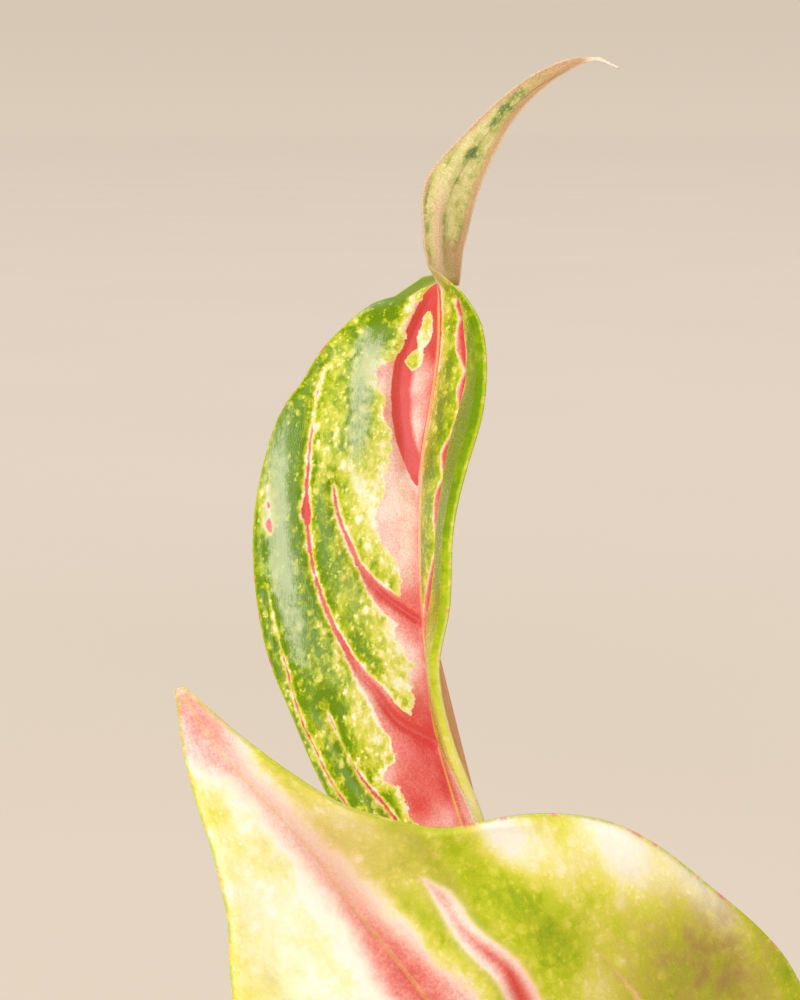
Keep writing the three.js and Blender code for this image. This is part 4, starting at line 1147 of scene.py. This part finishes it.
def cane_material(settings):
    """Cane: grey green with tan leaf scars and fine length-wise cracks."""
    finish = Finish("cane_skin")
    place = object_place(finish)
    streak = finish.noise(finish.vector("MULTIPLY", place, (1.0, 1.0, 0.16)), 1.1, 4, 0.62)
    patch = finish.noise(place, 0.16, 3, 0.6)
    scar = finish.measure("cane_scar", "Fac")
    skin = finish.over(settings.cane, tint("cane_patch"), patch, 0.4, 0.62)
    skin = finish.over(skin, tint("cane_crack"), streak, 0.5, 0.7, 0.0, 0.7)
    skin = finish.over(skin, settings.scar, scar, 0.15, 0.75, 0.0, 0.9)
    normal = finish.bump(streak, 0.6, 0.0006)
    roughness = finish.ranged(streak, 0.3, 0.7, 0.5, 0.74)
    return finish.surface(base_color=skin, roughness=roughness, normal=normal)


def soil_material(settings):
    """Damp potting soil with lighter crumbs."""
    finish = Finish("potting_soil")
    place = object_place(finish)
    coarse = finish.noise(place, 0.45, 4, 0.7)
    fine = finish.noise(place, 2.4, 4, 0.7)
    crumb = finish.measure("crumb_tone", "Fac")
    skin = finish.ramp(coarse, [(0.32, tint("soil_dark")), (0.55, settings.soil), (0.72, tint("soil_light"))])
    skin = finish.blend(crumb, skin, settings.bark)
    skin = finish.over(skin, tint("soil_grain"), fine, 0.55, 0.75, 0.0, 0.45)
    normal = finish.bump(fine, 0.8, 0.0009)
    roughness = finish.ranged(fine, 0.3, 0.7, 0.78, 0.96)
    return finish.surface(base_color=skin, roughness=roughness, normal=normal)


def floor_material(settings):
    """Pale paper, lit evenly from itself, slightly lighter at a little distance."""
    finish = Finish("floor_paper")
    place = object_place(finish, 1.0)
    cloud = finish.noise(place, 1.2, 2, 0.5)
    skin = finish.over(settings.floor, tint("floor_cloud"), cloud, 0.3, 0.7)
    away = finish.node("ShaderNodeVectorMath", {0: place}, operation="LENGTH").outputs["Value"]
    glow = finish.over(tint("floor_near"), tint("floor_middle"), away, 0.6, 2.4)
    glow = finish.over(glow, tint("floor_far"), finish.sum("LOGARITHM", away, 10.0), 0.4, 1.7)
    return finish.surface(base_color=skin, roughness=0.9, specular_ior_level=0.1, emission_color=glow,
                          emission_strength=1.0)


def pot_material(settings):
    """Matte glaze: warm white with sandy speckles, a bare foot and faint throwing lines."""
    finish = Finish("pot_glaze")
    place = object_place(finish)
    height = finish.split(place)[2]
    speck = finish.noise(place, 1.25, 2, 0.5)
    dots = finish.noise(place, 3.4, 1, 0.5)
    cloud = finish.noise(place, 0.035, 4, 0.6)
    rings = finish.noise(finish.vector("MULTIPLY", place, (0.02, 0.02, 1.0)), 0.5, 3, 0.6)
    skin = finish.over(settings.glaze, tint("glaze_cloud"), cloud, 0.35, 0.68)
    skin = finish.over(skin, settings.speck, speck, 0.64, 0.7, 0.0, 0.8)
    skin = finish.over(skin, tint("glaze_dot"), dots, 0.68, 0.74, 0.0, 0.6)
    ragged_height = finish.sum("ADD", height, finish.sum("MULTIPLY", cloud, 1.2))
    skin = finish.over(skin, tint("pot_clay"), ragged_height, 1.4, 2.4, 1.0, 0.0)
    normal = finish.bump(rings, 0.35, 0.0012)
    normal = finish.bump(speck, 0.12, 0.0004, normal)
    roughness = finish.ranged(cloud, 0.3, 0.7, 0.4, 0.56)
    return finish.surface(base_color=skin, roughness=roughness, normal=normal, coat_weight=0.15,
                          coat_roughness=0.35)


# Pieces


def nearest_vein(veins, up, out):
    """Distance to the midrib or to the nearest side vein, at many places of one leaf."""
    nearest = np.abs(out) + MIDRIB_HALF
    for side, line in veins:
        spots, reach = np.transpose(np.asarray(line, float))
        offset = np.abs(np.abs(out) - np.interp(up, spots, reach))
        slope = (np.interp(up + 1, spots, reach) - np.interp(up - 1, spots, reach)) / 2
        offset = np.hypot(offset / np.sqrt(1 + slope ** 2), np.maximum(spots[0] - up, 0))
        offset = np.hypot(offset, np.maximum(up - spots[-1], 0))
        nearest = np.where(np.sign(out) == side, np.minimum(nearest, offset), nearest)
    return nearest


def blade_painter(veins, band, marks, settings, all_veins=None, extra=None, calm=0.0):
    """Function that gives the pattern's measures at many places of one blade."""
    quilting, groove = settings.quilting / MM, settings.groove / MM
    band_up, band_left, band_right = np.transpose(np.asarray(band, float))

    def paint(up, out, width):
        distance, widths = vein_fields(veins, up, out)
        edge = np.where(out < 0, np.interp(up, band_up, band_left), np.interp(up, band_up, band_right))
        nearest = nearest_vein(all_veins or [vein[:2] for vein in veins], up, out)
        room = np.clip(width / RELIEF_ROOM, 0, 1)
        rise = quilting * (1 - np.exp(-nearest / QUILT_WIDTH))
        cream, dark, red, brown, tan, silver, dull = (
            patches(marks.get(kind, []), up, out)
            for kind in ("cream", "dark", "red", "brown", "tan", "silver", "dull"))
        fields = {
            "veins_a": distance[:, :3], "veins_b": distance[:, 3:],
            "widths_a": widths[:, :3], "widths_b": widths[:, 3:],
            "leaf_tone": np.stack([np.abs(out) - edge, cream - dark, red], 1),
            "leaf_hue": np.stack([np.full(len(up), calm), np.clip(brown, 0, 1), tan], 1),
            # The middle number is the share of painted highlight from the silver patches
            "leaf_sheen": np.stack([np.full(len(up), NO_TROUGH), silver, dull], 1),
            "relief": room * (rise - groove * np.exp(-(nearest / GROOVE_WIDTH) ** 2)),
        }
        if extra:
            extra(up, out, fields)
        return fields

    return paint


def arc_vein(start, blade, half_width, shape):
    """One side vein: it leaves the midrib at an angle and sweeps towards the tip."""
    ups = start + blade * np.array([0, 0.03, 0.07, 0.12, 0.18, 0.26, 0.36])
    ups = ups[ups < blade * 0.98]
    share = 0.96 * (1 - np.exp(-(ups - start) / (blade * shape)))
    outline = np.interp(ups / blade, *np.transpose(BLADE_OUTLINE)) * half_width
    return list(zip(ups, share * outline))


def blade_places(stalk, blade, stalk_count, blade_count):
    """Stations up a leaf, closer together at the blade's foot."""
    lower = np.linspace(0, stalk, stalk_count, endpoint=False)
    return np.concatenate([lower, stalk + blade * np.linspace(0, 1, blade_count + 1)])


def random_veins(leaf, random):
    """Every side vein of an ordinary leaf, and the three of each half that are painted."""
    every, painted = [], []
    for side in (-1, 1):
        starts = np.linspace(0.05, 0.8, SIDE_VEINS) + random.uniform(-0.025, 0.025, SIDE_VEINS)
        starts = leaf.blade * starts
        chosen = set(random.choice(np.arange(1, SIDE_VEINS - 1), 3, replace=False))
        for index, origin in enumerate(starts):
            line = arc_vein(origin, leaf.blade, leaf.half_width, random.uniform(0.16, 0.22))
            every.append((side, line))
            if index in chosen:
                wide = random.uniform(1.6, 3)
                reach = random.uniform(0.5, 1) * (line[-1][0] - origin)
                painted.append((side, line, [
                    (origin, wide), (origin + 6, wide * 0.6), (origin + 12, 0.55),
                    (origin + reach * 0.8, 0.4), (origin + reach, 0.2), (origin + reach + 2, -1)]))
    return every, painted


def random_marks(leaf, random):
    """Scattered patches of an ordinary leaf."""
    def scatter(count, strength):
        return [(random.uniform(0.1, 0.85) * leaf.blade, random.uniform(-0.8, 0.8) * leaf.half_width,
                 random.uniform(4, 10), random.uniform(2, 5), random.uniform(0.4, 1) * strength)
                for _ in range(count)]

    return {"cream": scatter(9, 0.26), "dark": scatter(9, 0.12), "red": scatter(5, 0.6)}


def make_ordinary_leaf(leaf, seed, settings):
    """One leaf of the crown, with veins, pink band and patches drawn from its own seed."""
    random = np.random.default_rng(seed)
    along = blade_places(leaf.stalk, leaf.blade, *ORDINARY_COUNTS[:2])
    form = LeafForm(along, leaf.stalk, sheath_reach(leaf.cane))
    share = np.clip((along - leaf.stalk) / leaf.blade, 0, 1)
    width = np.maximum(TIP_WIDTH, leaf.half_width * through(BLADE_OUTLINE, share)[:, 0])
    calm = ease(share / 0.25) * ease((1 - share) / 0.15)
    lift = math.radians(leaf.fold) * (1 - FOLD_LOSS * share)
    bend = math.radians(HALF_BEND) * calm
    ripples = [leaf.wave * calm * np.sin(2 * math.pi * (leaf.beat * share + leaf.phase + offset))
               for offset in (0, RIPPLE_OFFSET)]
    form.open_blade(share, *(np.stack(pair, 1) for pair in ([width] * 2, [lift] * 2, [bend] * 2, ripples)))
    every, painted = random_veins(leaf, random)
    spread = random.uniform(0.7, 1.3)
    spots, base = np.transpose(ORDINARY_BAND)
    sides = [base * spread * random.uniform(0.6, 1.3, len(base)) for _ in range(2)]
    band = np.stack([spots * leaf.blade, *sides], 1)
    paint = blade_painter(painted, band, random_marks(leaf, random), settings, every)
    obj = loft_leaf(leaf.name, ordinary_path(leaf), form, leaf.stalk, leaf.blade, ORDINARY_COUNTS[2], paint,
                    seed * SEED_STEP, settings)
    keep(obj, leaf.name)


def make_placed_leaf(name, path, stalk, sections, cane, counts, paint, seed, settings, squeeze=1.0,
                     rake=((0, 0, 0), (1, 0, 0))):
    """One leaf along a path, its blade opened by a table of sections."""
    total = path[0][-1]
    last = sections[-1][0]
    scale = (total - stalk) / last
    stalk_count, blade_count, half_count = counts
    along = blade_places(stalk, total - stalk, stalk_count, blade_count)
    form = LeafForm(along, stalk, sheath_reach(cane))
    form.squeeze = squeeze
    up = np.maximum(0, (along - stalk) / scale)
    values = through(sections, up)
    width, lift, bend = (values[:, [column, column + 3]] for column in range(3))
    form.open_blade(up / last, width, np.radians(lift), np.radians(bend), np.zeros_like(width))
    places, *rakes = np.transpose(rake)
    form.rake = np.stack([np.interp(up, places, side) for side in rakes], 1)
    obj = loft_leaf(name, path, form, stalk, last, half_count, paint, seed, settings)
    keep(obj, name)


def upright_extra(up, out, fields):
    """Adds what only the upright leaf has: trough, crest, island, turned tip and its right half's stripe."""
    aside = np.abs(out)
    left = out < 0
    tone, hue, sheen = (fields[f"leaf_{kind}"] for kind in ("tone", "hue", "sheen"))
    crest, centre, half, stripe = (
        np.interp(up, *np.transpose(table))
        for table in (UPRIGHT_CREST, ISLAND_CENTRE, ISLAND_HALF, UPRIGHT_STRIPE))

    # Trough of the left half: redder towards its upper end, with a rounded crest along its outer side
    inward = crest - aside
    along = ease((up - 77) / 9) * ease((113 - up) / 5) * left
    tone[:, 2] += along * (inward > 0) * (0.6 * ease((up - 95) / 5) - 0.06)
    fade = 1 - ease((up - 75) / 3) * ease((114 - up) / 2)
    sheen[:, 0] = np.where(left, inward + NO_TROUGH * fade, NO_TROUGH)
    fall = 0.8 - 1.2 * ease((inward + 0.3) / 1.9) + 0.4 * ease((inward - 1.8) / 3)
    fields["relief"] += along * np.where(inward > -0.3, fall, 0.8 * np.exp((inward + 0.3) / 2.6))

    # Calmer mottling in the right half, and the tan of the pinch and of the turned tip
    hue[:, 0] = np.where(left, 0, 0.35 + 0.5 * ease((aside - 15) / 3))
    tucked = np.where(out < -1.4, 1.5 * ease((122 - up) / 7) - 0.85, -0.65)
    hue[:, 2] = tucked * ease((up - np.where(left, 112, 109)) / 1.6)

    # Island in the trough
    island = 2.2 * (half - np.abs(aside - centre))
    tone[:, 0] = np.where(left, np.maximum(tone[:, 0], island), tone[:, 0])

    # Pale stripe of the right half, and the darker zone outside it
    pale = np.where(left, 0, 1) * np.exp(-((aside - stripe) / 4.4) ** 2)
    pale = pale * ease((up - 50) / 8) * ease((109 - up) / 6)
    tone[:, 1] += 0.14 * pale - np.where(left, 0, 0.15 * ease((aside - 12) / 4) * ease((up - 58) / 20))
    tone[:, 2] += 0.35 * pale


class EVERGREEN_OT_upright_leaf(Operator):
    """Make the upright leaf, folded along its midrib, its tip pinched and turned over"""
    bl_idname = "evergreen.upright_leaf"
    bl_label = "Upright leaf"

    def execute(self, context):
        settings = context.scene.evergreen_leaf
        path = placed_path(UPRIGHT_PATH, UPRIGHT_FACINGS)
        every = [(-1, UPRIGHT_CREST), *(vein[:2] for vein in UPRIGHT_VEINS)]
        paint = blade_painter(UPRIGHT_VEINS, UPRIGHT_BAND, UPRIGHT_MARKS, settings, every, upright_extra)
        make_placed_leaf("leaf_upright", path, UPRIGHT_STALK, UPRIGHT_SECTIONS, "centre", UPRIGHT_COUNTS,
                         paint, 5, settings, squeeze=UPRIGHT_SQUEEZE, rake=UPRIGHT_RAKE)
        return {"FINISHED"}


class EVERGREEN_OT_near_leaf(Operator):
    """Make the wide leaf that leans across the front"""
    bl_idname = "evergreen.near_leaf"
    bl_label = "Near leaf"

    def execute(self, context):
        settings = context.scene.evergreen_leaf
        share = ease((np.arange(len(NEAR_PATH)) - 2) / 6)[:, None]
        facings = mix(*np.asarray(NEAR_FACINGS), share)
        paint = blade_painter(NEAR_VEINS, NEAR_BAND, NEAR_MARKS, settings, calm=0.75)
        make_placed_leaf("leaf_near", placed_path(NEAR_PATH, facings), NEAR_STALK, NEAR_SECTIONS, "front",
                         NEAR_COUNTS, paint, 11, settings)
        return {"FINISHED"}


class EVERGREEN_OT_leaves(Operator):
    """Make the twelve ordinary leaves"""
    bl_idname = "evergreen.leaves"
    bl_label = "Ordinary leaves"

    def execute(self, context):
        for seed, row in enumerate(LEAVES, 1):
            make_ordinary_leaf(Leaf(*row), seed, context.scene.evergreen_leaf)
        return {"FINISHED"}


class EVERGREEN_OT_furled_leaf(Operator):
    """Make the young leaf that is still rolled up"""
    bl_idname = "evergreen.furled_leaf"
    bl_label = "Furled leaf"

    def execute(self, context):
        settings = context.scene.evergreen_leaf
        path = placed_path(FURLED_PATH, [FURLED_FACING] * len(FURLED_PATH))
        total = path[0][-1]
        along = np.linspace(0, total, FURLED_RINGS)
        place, normal, right = frames_at(path, along)
        radius = through(FURLED_RADIUS, along * FURLED_RADIUS[-1][0] / total)
        along = along[:, None]
        rolled = ease((along - 40) / 30)
        turn = np.linspace(0, 1, FURLED_SIDES, endpoint=False)[None]
        lap = FURLED_LAP * rolled * (turn - 0.5) + 0.1 * rolled
        ring_radius = radius - radius * lap
        angle = 2 * math.pi * turn + 0.012 * along + 2.4
        points = (place[:, None] + right[:, None] * (ring_radius * np.cos(angle))[..., None]
                  + normal[:, None] * (ring_radius * np.sin(angle))[..., None])
        foot = list(range(FURLED_SIDES))
        top = [corner + (FURLED_RINGS - 1) * FURLED_SIDES for corner in foot]
        faces = bands(FURLED_RINGS, FURLED_SIDES) + [foot[::-1], top]
        obj = add_mesh("leaf_furled", points.reshape(-1, 3) * MM, faces)
        fields = np.broadcast_arrays(along, turn * 2 * math.pi * 4, 3.0)
        store(obj.data, "leaf_place", np.stack([field.ravel() for field in fields], 1))
        seam = np.minimum(turn, 1 - turn) * 2 * math.pi * radius + 3 * (1 - rolled)
        store(obj.data, "leaf_seam", seam.reshape(-1, 1))
        obj.data.materials.append(furled_material(settings))
        keep(obj, "leaf_furled")
        return {"FINISHED"}


class EVERGREEN_OT_canes(Operator):
    """Make the four canes with their leaf scars"""
    bl_idname = "evergreen.canes"
    bl_label = "Canes"

    def execute(self, context):
        finish = cane_material(context.scene.evergreen_pot)
        for number, (name, (x, y, radius, top)) in enumerate(CANES.items()):
            foot = CANE_FOOT + GAP
            heights = np.linspace(foot, top - 12, CANE_RINGS)
            ring = (heights - SCAR_START) % SCAR_SPACING
            scar = np.exp(-((ring - 1) / 0.7) ** 2) * (heights > SCAR_START - 1) * (heights < top - SCAR_END)
            profile = [(0, foot), *zip(radius - 0.4 + 0.35 * scar, heights)]
            profile += [(radius - inward, top - down) for inward, down in CANE_CROWN]
            profile.append((0, top))

            def wobble(angle, height, number=number):
                swell = 0.12 * np.sin(3 * angle + height * 0.11 + number)
                return swell - 0.1 * np.abs(np.sin(5 * angle - height * 0.07 + 2 * number))

            points, faces = turned(profile, CANE_SIDES, wobble)
            obj = add_mesh(f"cane_{name}", (points + [x, y, 0]) * MM, faces)
            rows = np.concatenate([scar, np.zeros(len(CANE_CROWN))])
            tone = np.concatenate([np.repeat(rows, CANE_SIDES), [0, 0]])
            store(obj.data, "cane_scar", tone[:, None])
            obj.data.materials.append(finish)
            keep(obj, f"cane_{name}")
        return {"FINISHED"}


def uneven_ground(random):
    """Height of the soil at each point of its rings, from soft waves that run many ways; lower at the rim."""
    waves = random.uniform(0, 2 * math.pi, (SOIL_WAVES, 2))
    beats = random.uniform(0.1, 1.1, SOIL_WAVES)
    angles = round_angles(SOIL_SIDES)
    radii = SOIL_RADII[:, None]
    x, y = radii * np.cos(angles), radii * np.sin(angles)
    relief = sum(np.sin(x * beat * np.cos(way) + y * beat * np.sin(way) + shift) / (1 + 2 * beat)
                 for (way, shift), beat in zip(waves, beats)) * 0.5
    inside = ease((SOIL_EDGE - radii) / 4)
    return SOIL_TOP + 0.6 + relief * inside - SOIL_DIP * ease((radii - 50) / 8)


def crumb(random, size):
    """Points of a rough lump of soil or bark: a squashed ball with uneven points."""
    corners = CRUMB_CORNERS / CRUMB_RADIUS * random.uniform(0.7, 1.15, (12, 1))
    turn = random.uniform(0, 2 * math.pi)
    spin = np.array([[math.cos(turn), -math.sin(turn), 0], [math.sin(turn), math.cos(turn), 0], [0, 0, 1]])
    return corners @ spin * size * random.uniform((0.9, 0.6, 0.4), (1.6, 1.0, 0.7))


class EVERGREEN_OT_soil(Operator):
    """Make the potting soil with its crumbs"""
    bl_idname = "evergreen.soil"
    bl_label = "Soil"

    def execute(self, context):
        settings = context.scene.evergreen_pot
        random = np.random.default_rng(SOIL_SEED)
        ground = uneven_ground(random)
        wall_radii, wall_heights = np.transpose(SOIL_WALL)
        radii = np.repeat(np.concatenate([SOIL_RADII, wall_radii])[:, None], SOIL_SIDES, 1)
        heights = np.vstack([ground, np.repeat(wall_heights[:, None], SOIL_SIDES, 1)])
        points, faces = closed_rings(radii, heights, ground[0].mean(), wall_heights[-1])
        tone = [np.zeros(len(points))]
        blocks = [points]
        offset = len(points)
        for _ in range(settings.crumbs):
            radius, angle = CRUMB_REACH * math.sqrt(random.uniform(0, 1)), random.uniform(0, 2 * math.pi)
            x, y = radius * math.cos(angle), radius * math.sin(angle)
            if any(math.hypot(x - cane_x, y - cane_y) < thick + CRUMB_CLEARANCE
                   for cane_x, cane_y, thick, _ in CANES.values()):
                continue
            size = settings.crumb_size / MM * random.uniform(0.25, 0.6)
            corners = crumb(random, size)
            ring_row = min(len(SOIL_RADII) - 1, int(round(radius - SOIL_RADII[0])))
            level = ground[ring_row, int(angle / (2 * math.pi) * SOIL_SIDES) % SOIL_SIDES]
            blocks.append(corners + [x, y, level + size * 0.2])
            faces += [[corner + offset for corner in face] for face in CRUMB_FACES]
            tone.append(np.full(len(corners), random.choice([0.0, 0.5, 0.85])))
            offset += len(corners)
        obj = add_mesh("soil", np.vstack(blocks) * MM, faces)
        store(obj.data, "crumb_tone", np.concatenate(tone)[:, None])
        obj.data.materials.append(soil_material(settings))
        keep(obj, "soil")
        return {"FINISHED"}


class EVERGREEN_OT_pot(Operator):
    """Make the plain tapered pot"""
    bl_idname = "evergreen.pot"
    bl_label = "Pot"

    def execute(self, context):
        settings = context.scene.evergreen_pot
        profile = np.asarray(POT_PROFILE[1:-1], float)
        spots = np.concatenate([[0], np.cumsum(np.linalg.norm(np.diff(profile, axis=0), axis=1))])
        fine = np.unique(np.concatenate([spots, np.linspace(0, spots[-1], POT_ROWS)]))
        rows = np.stack([np.interp(fine, spots, profile[:, axis]) for axis in range(2)], 1)
        points, faces = turned([POT_PROFILE[0], *rows, POT_PROFILE[-1]], settings.sides)
        obj = add_mesh("pot", points * MM, faces)
        obj.data.materials.append(pot_material(settings))
        keep(obj, "pot")
        return {"FINISHED"}


def studio_world():
    """Pale surroundings, a little darker up from the horizon, that light the plant but don't mirror in it."""
    world = bpy.data.worlds.new("studio")
    world.use_nodes = True
    nodes, links = world.node_tree.nodes, world.node_tree.links
    parts = nodes.new("ShaderNodeSeparateXYZ")
    links.new(nodes.new("ShaderNodeTexCoord").outputs["Generated"], parts.inputs[0])
    haze = nodes.new("ShaderNodeValToRGB")
    links.new(parts.outputs["Z"], haze.inputs[0])
    for element, (spot, name) in zip(haze.color_ramp.elements, ((0.0, "wall_low"), (0.045, "wall_high"))):
        element.position = spot
        element.color = (*tint(name), 1)
    links.new(haze.outputs["Color"], nodes["Background"].inputs["Color"])
    world.cycles_visibility.glossy = False
    return world


def add_holder(scene, name, data, place):
    """Object at a place of the stage that holds a lamp or the camera."""
    holder = bpy.data.objects.new(name, data)
    holder.location = place
    scene.collection.objects.link(holder)
    return holder


class EVERGREEN_OT_stage(Operator):
    """Make the floor, the soft lights and the camera"""
    bl_idname = "evergreen.stage"
    bl_label = "Stage"

    def execute(self, context):
        settings = context.scene.evergreen_stage
        scene = context.scene
        scene.view_settings.view_transform = "Standard"
        angles = [2 * math.pi * side / FLOOR_SIDES for side in range(FLOOR_SIDES)]
        rim = [(FLOOR_REACH * math.cos(angle), FLOOR_REACH * math.sin(angle), 0) for angle in angles]
        floor = add_mesh("floor", rim, [list(range(FLOOR_SIDES))])
        floor.data.materials.append(floor_material(settings))
        floor.visible_glossy = False
        scene.world = studio_world()
        for name, setting, place, size, tone in LAMPS:
            lamp = bpy.data.lights.new(name, "AREA")
            lamp.shape = "ELLIPSE"
            lamp.size, lamp.size_y = size
            lamp.energy = getattr(settings, setting)
            lamp.color = tone
            holder = add_holder(scene, name, lamp, place)
            holder.visible_camera = False
            holder.visible_diffuse = name != "window_light"
            holder.visible_glossy = name != "main_light"
            holder.rotation_euler = (LAMP_AIM - Vector(place)).to_track_quat("-Z", "Y").to_euler()
        camera = bpy.data.cameras.new("camera")
        camera.lens = CAMERA_LENS
        camera.sensor_width = CAMERA_SENSOR
        scene.camera = add_holder(scene, "camera", camera, CAMERA_PLACE)
        scene.camera.rotation_euler = (math.radians(CAMERA_TILT), 0, 0)
        return {"FINISHED"}


class EVERGREEN_PT_panel(Panel):
    """Lists the plant's pieces and their settings"""
    bl_label = "Evergreen"
    bl_idname = "EVERGREEN_PT_panel"
    bl_space_type = "VIEW_3D"
    bl_region_type = "UI"
    bl_category = "Evergreen"

    def draw(self, context):
        layout = self.layout
        for operator in STEPS:
            layout.operator(operator.bl_idname)
        for group in ("evergreen_leaf", "evergreen_pot", "evergreen_stage"):
            box = layout.box()
            settings = getattr(context.scene, group)
            for key in settings.bl_rna.properties.keys():
                if key not in ("rna_type", "name"):
                    box.prop(settings, key)


STEPS = (
    EVERGREEN_OT_stage, EVERGREEN_OT_pot, EVERGREEN_OT_soil, EVERGREEN_OT_canes, EVERGREEN_OT_upright_leaf,
    EVERGREEN_OT_near_leaf, EVERGREEN_OT_leaves, EVERGREEN_OT_furled_leaf,
)
GROUPS = {
    "evergreen_leaf": EvergreenLeafSettings,
    "evergreen_pot": EvergreenPotSettings,
    "evergreen_stage": EvergreenStageSettings,
}


def register():
    for kind in (*GROUPS.values(), *STEPS, EVERGREEN_PT_panel):
        bpy.utils.register_class(kind)
    for name, kind in GROUPS.items():
        setattr(bpy.types.Scene, name, PointerProperty(type=kind))


def unregister():
    for name in GROUPS:
        delattr(bpy.types.Scene, name)
    for kind in (EVERGREEN_PT_panel, *reversed(STEPS), *reversed(list(GROUPS.values()))):
        bpy.utils.unregister_class(kind)


def main():
    register()
    bpy.ops.evergreen.stage()
    bpy.ops.evergreen.pot()
    bpy.ops.evergreen.soil()
    bpy.ops.evergreen.canes()
    bpy.ops.evergreen.upright_leaf()
    bpy.ops.evergreen.near_leaf()
    bpy.ops.evergreen.leaves()
    bpy.ops.evergreen.furled_leaf()


if __name__ == "__main__":
    main()
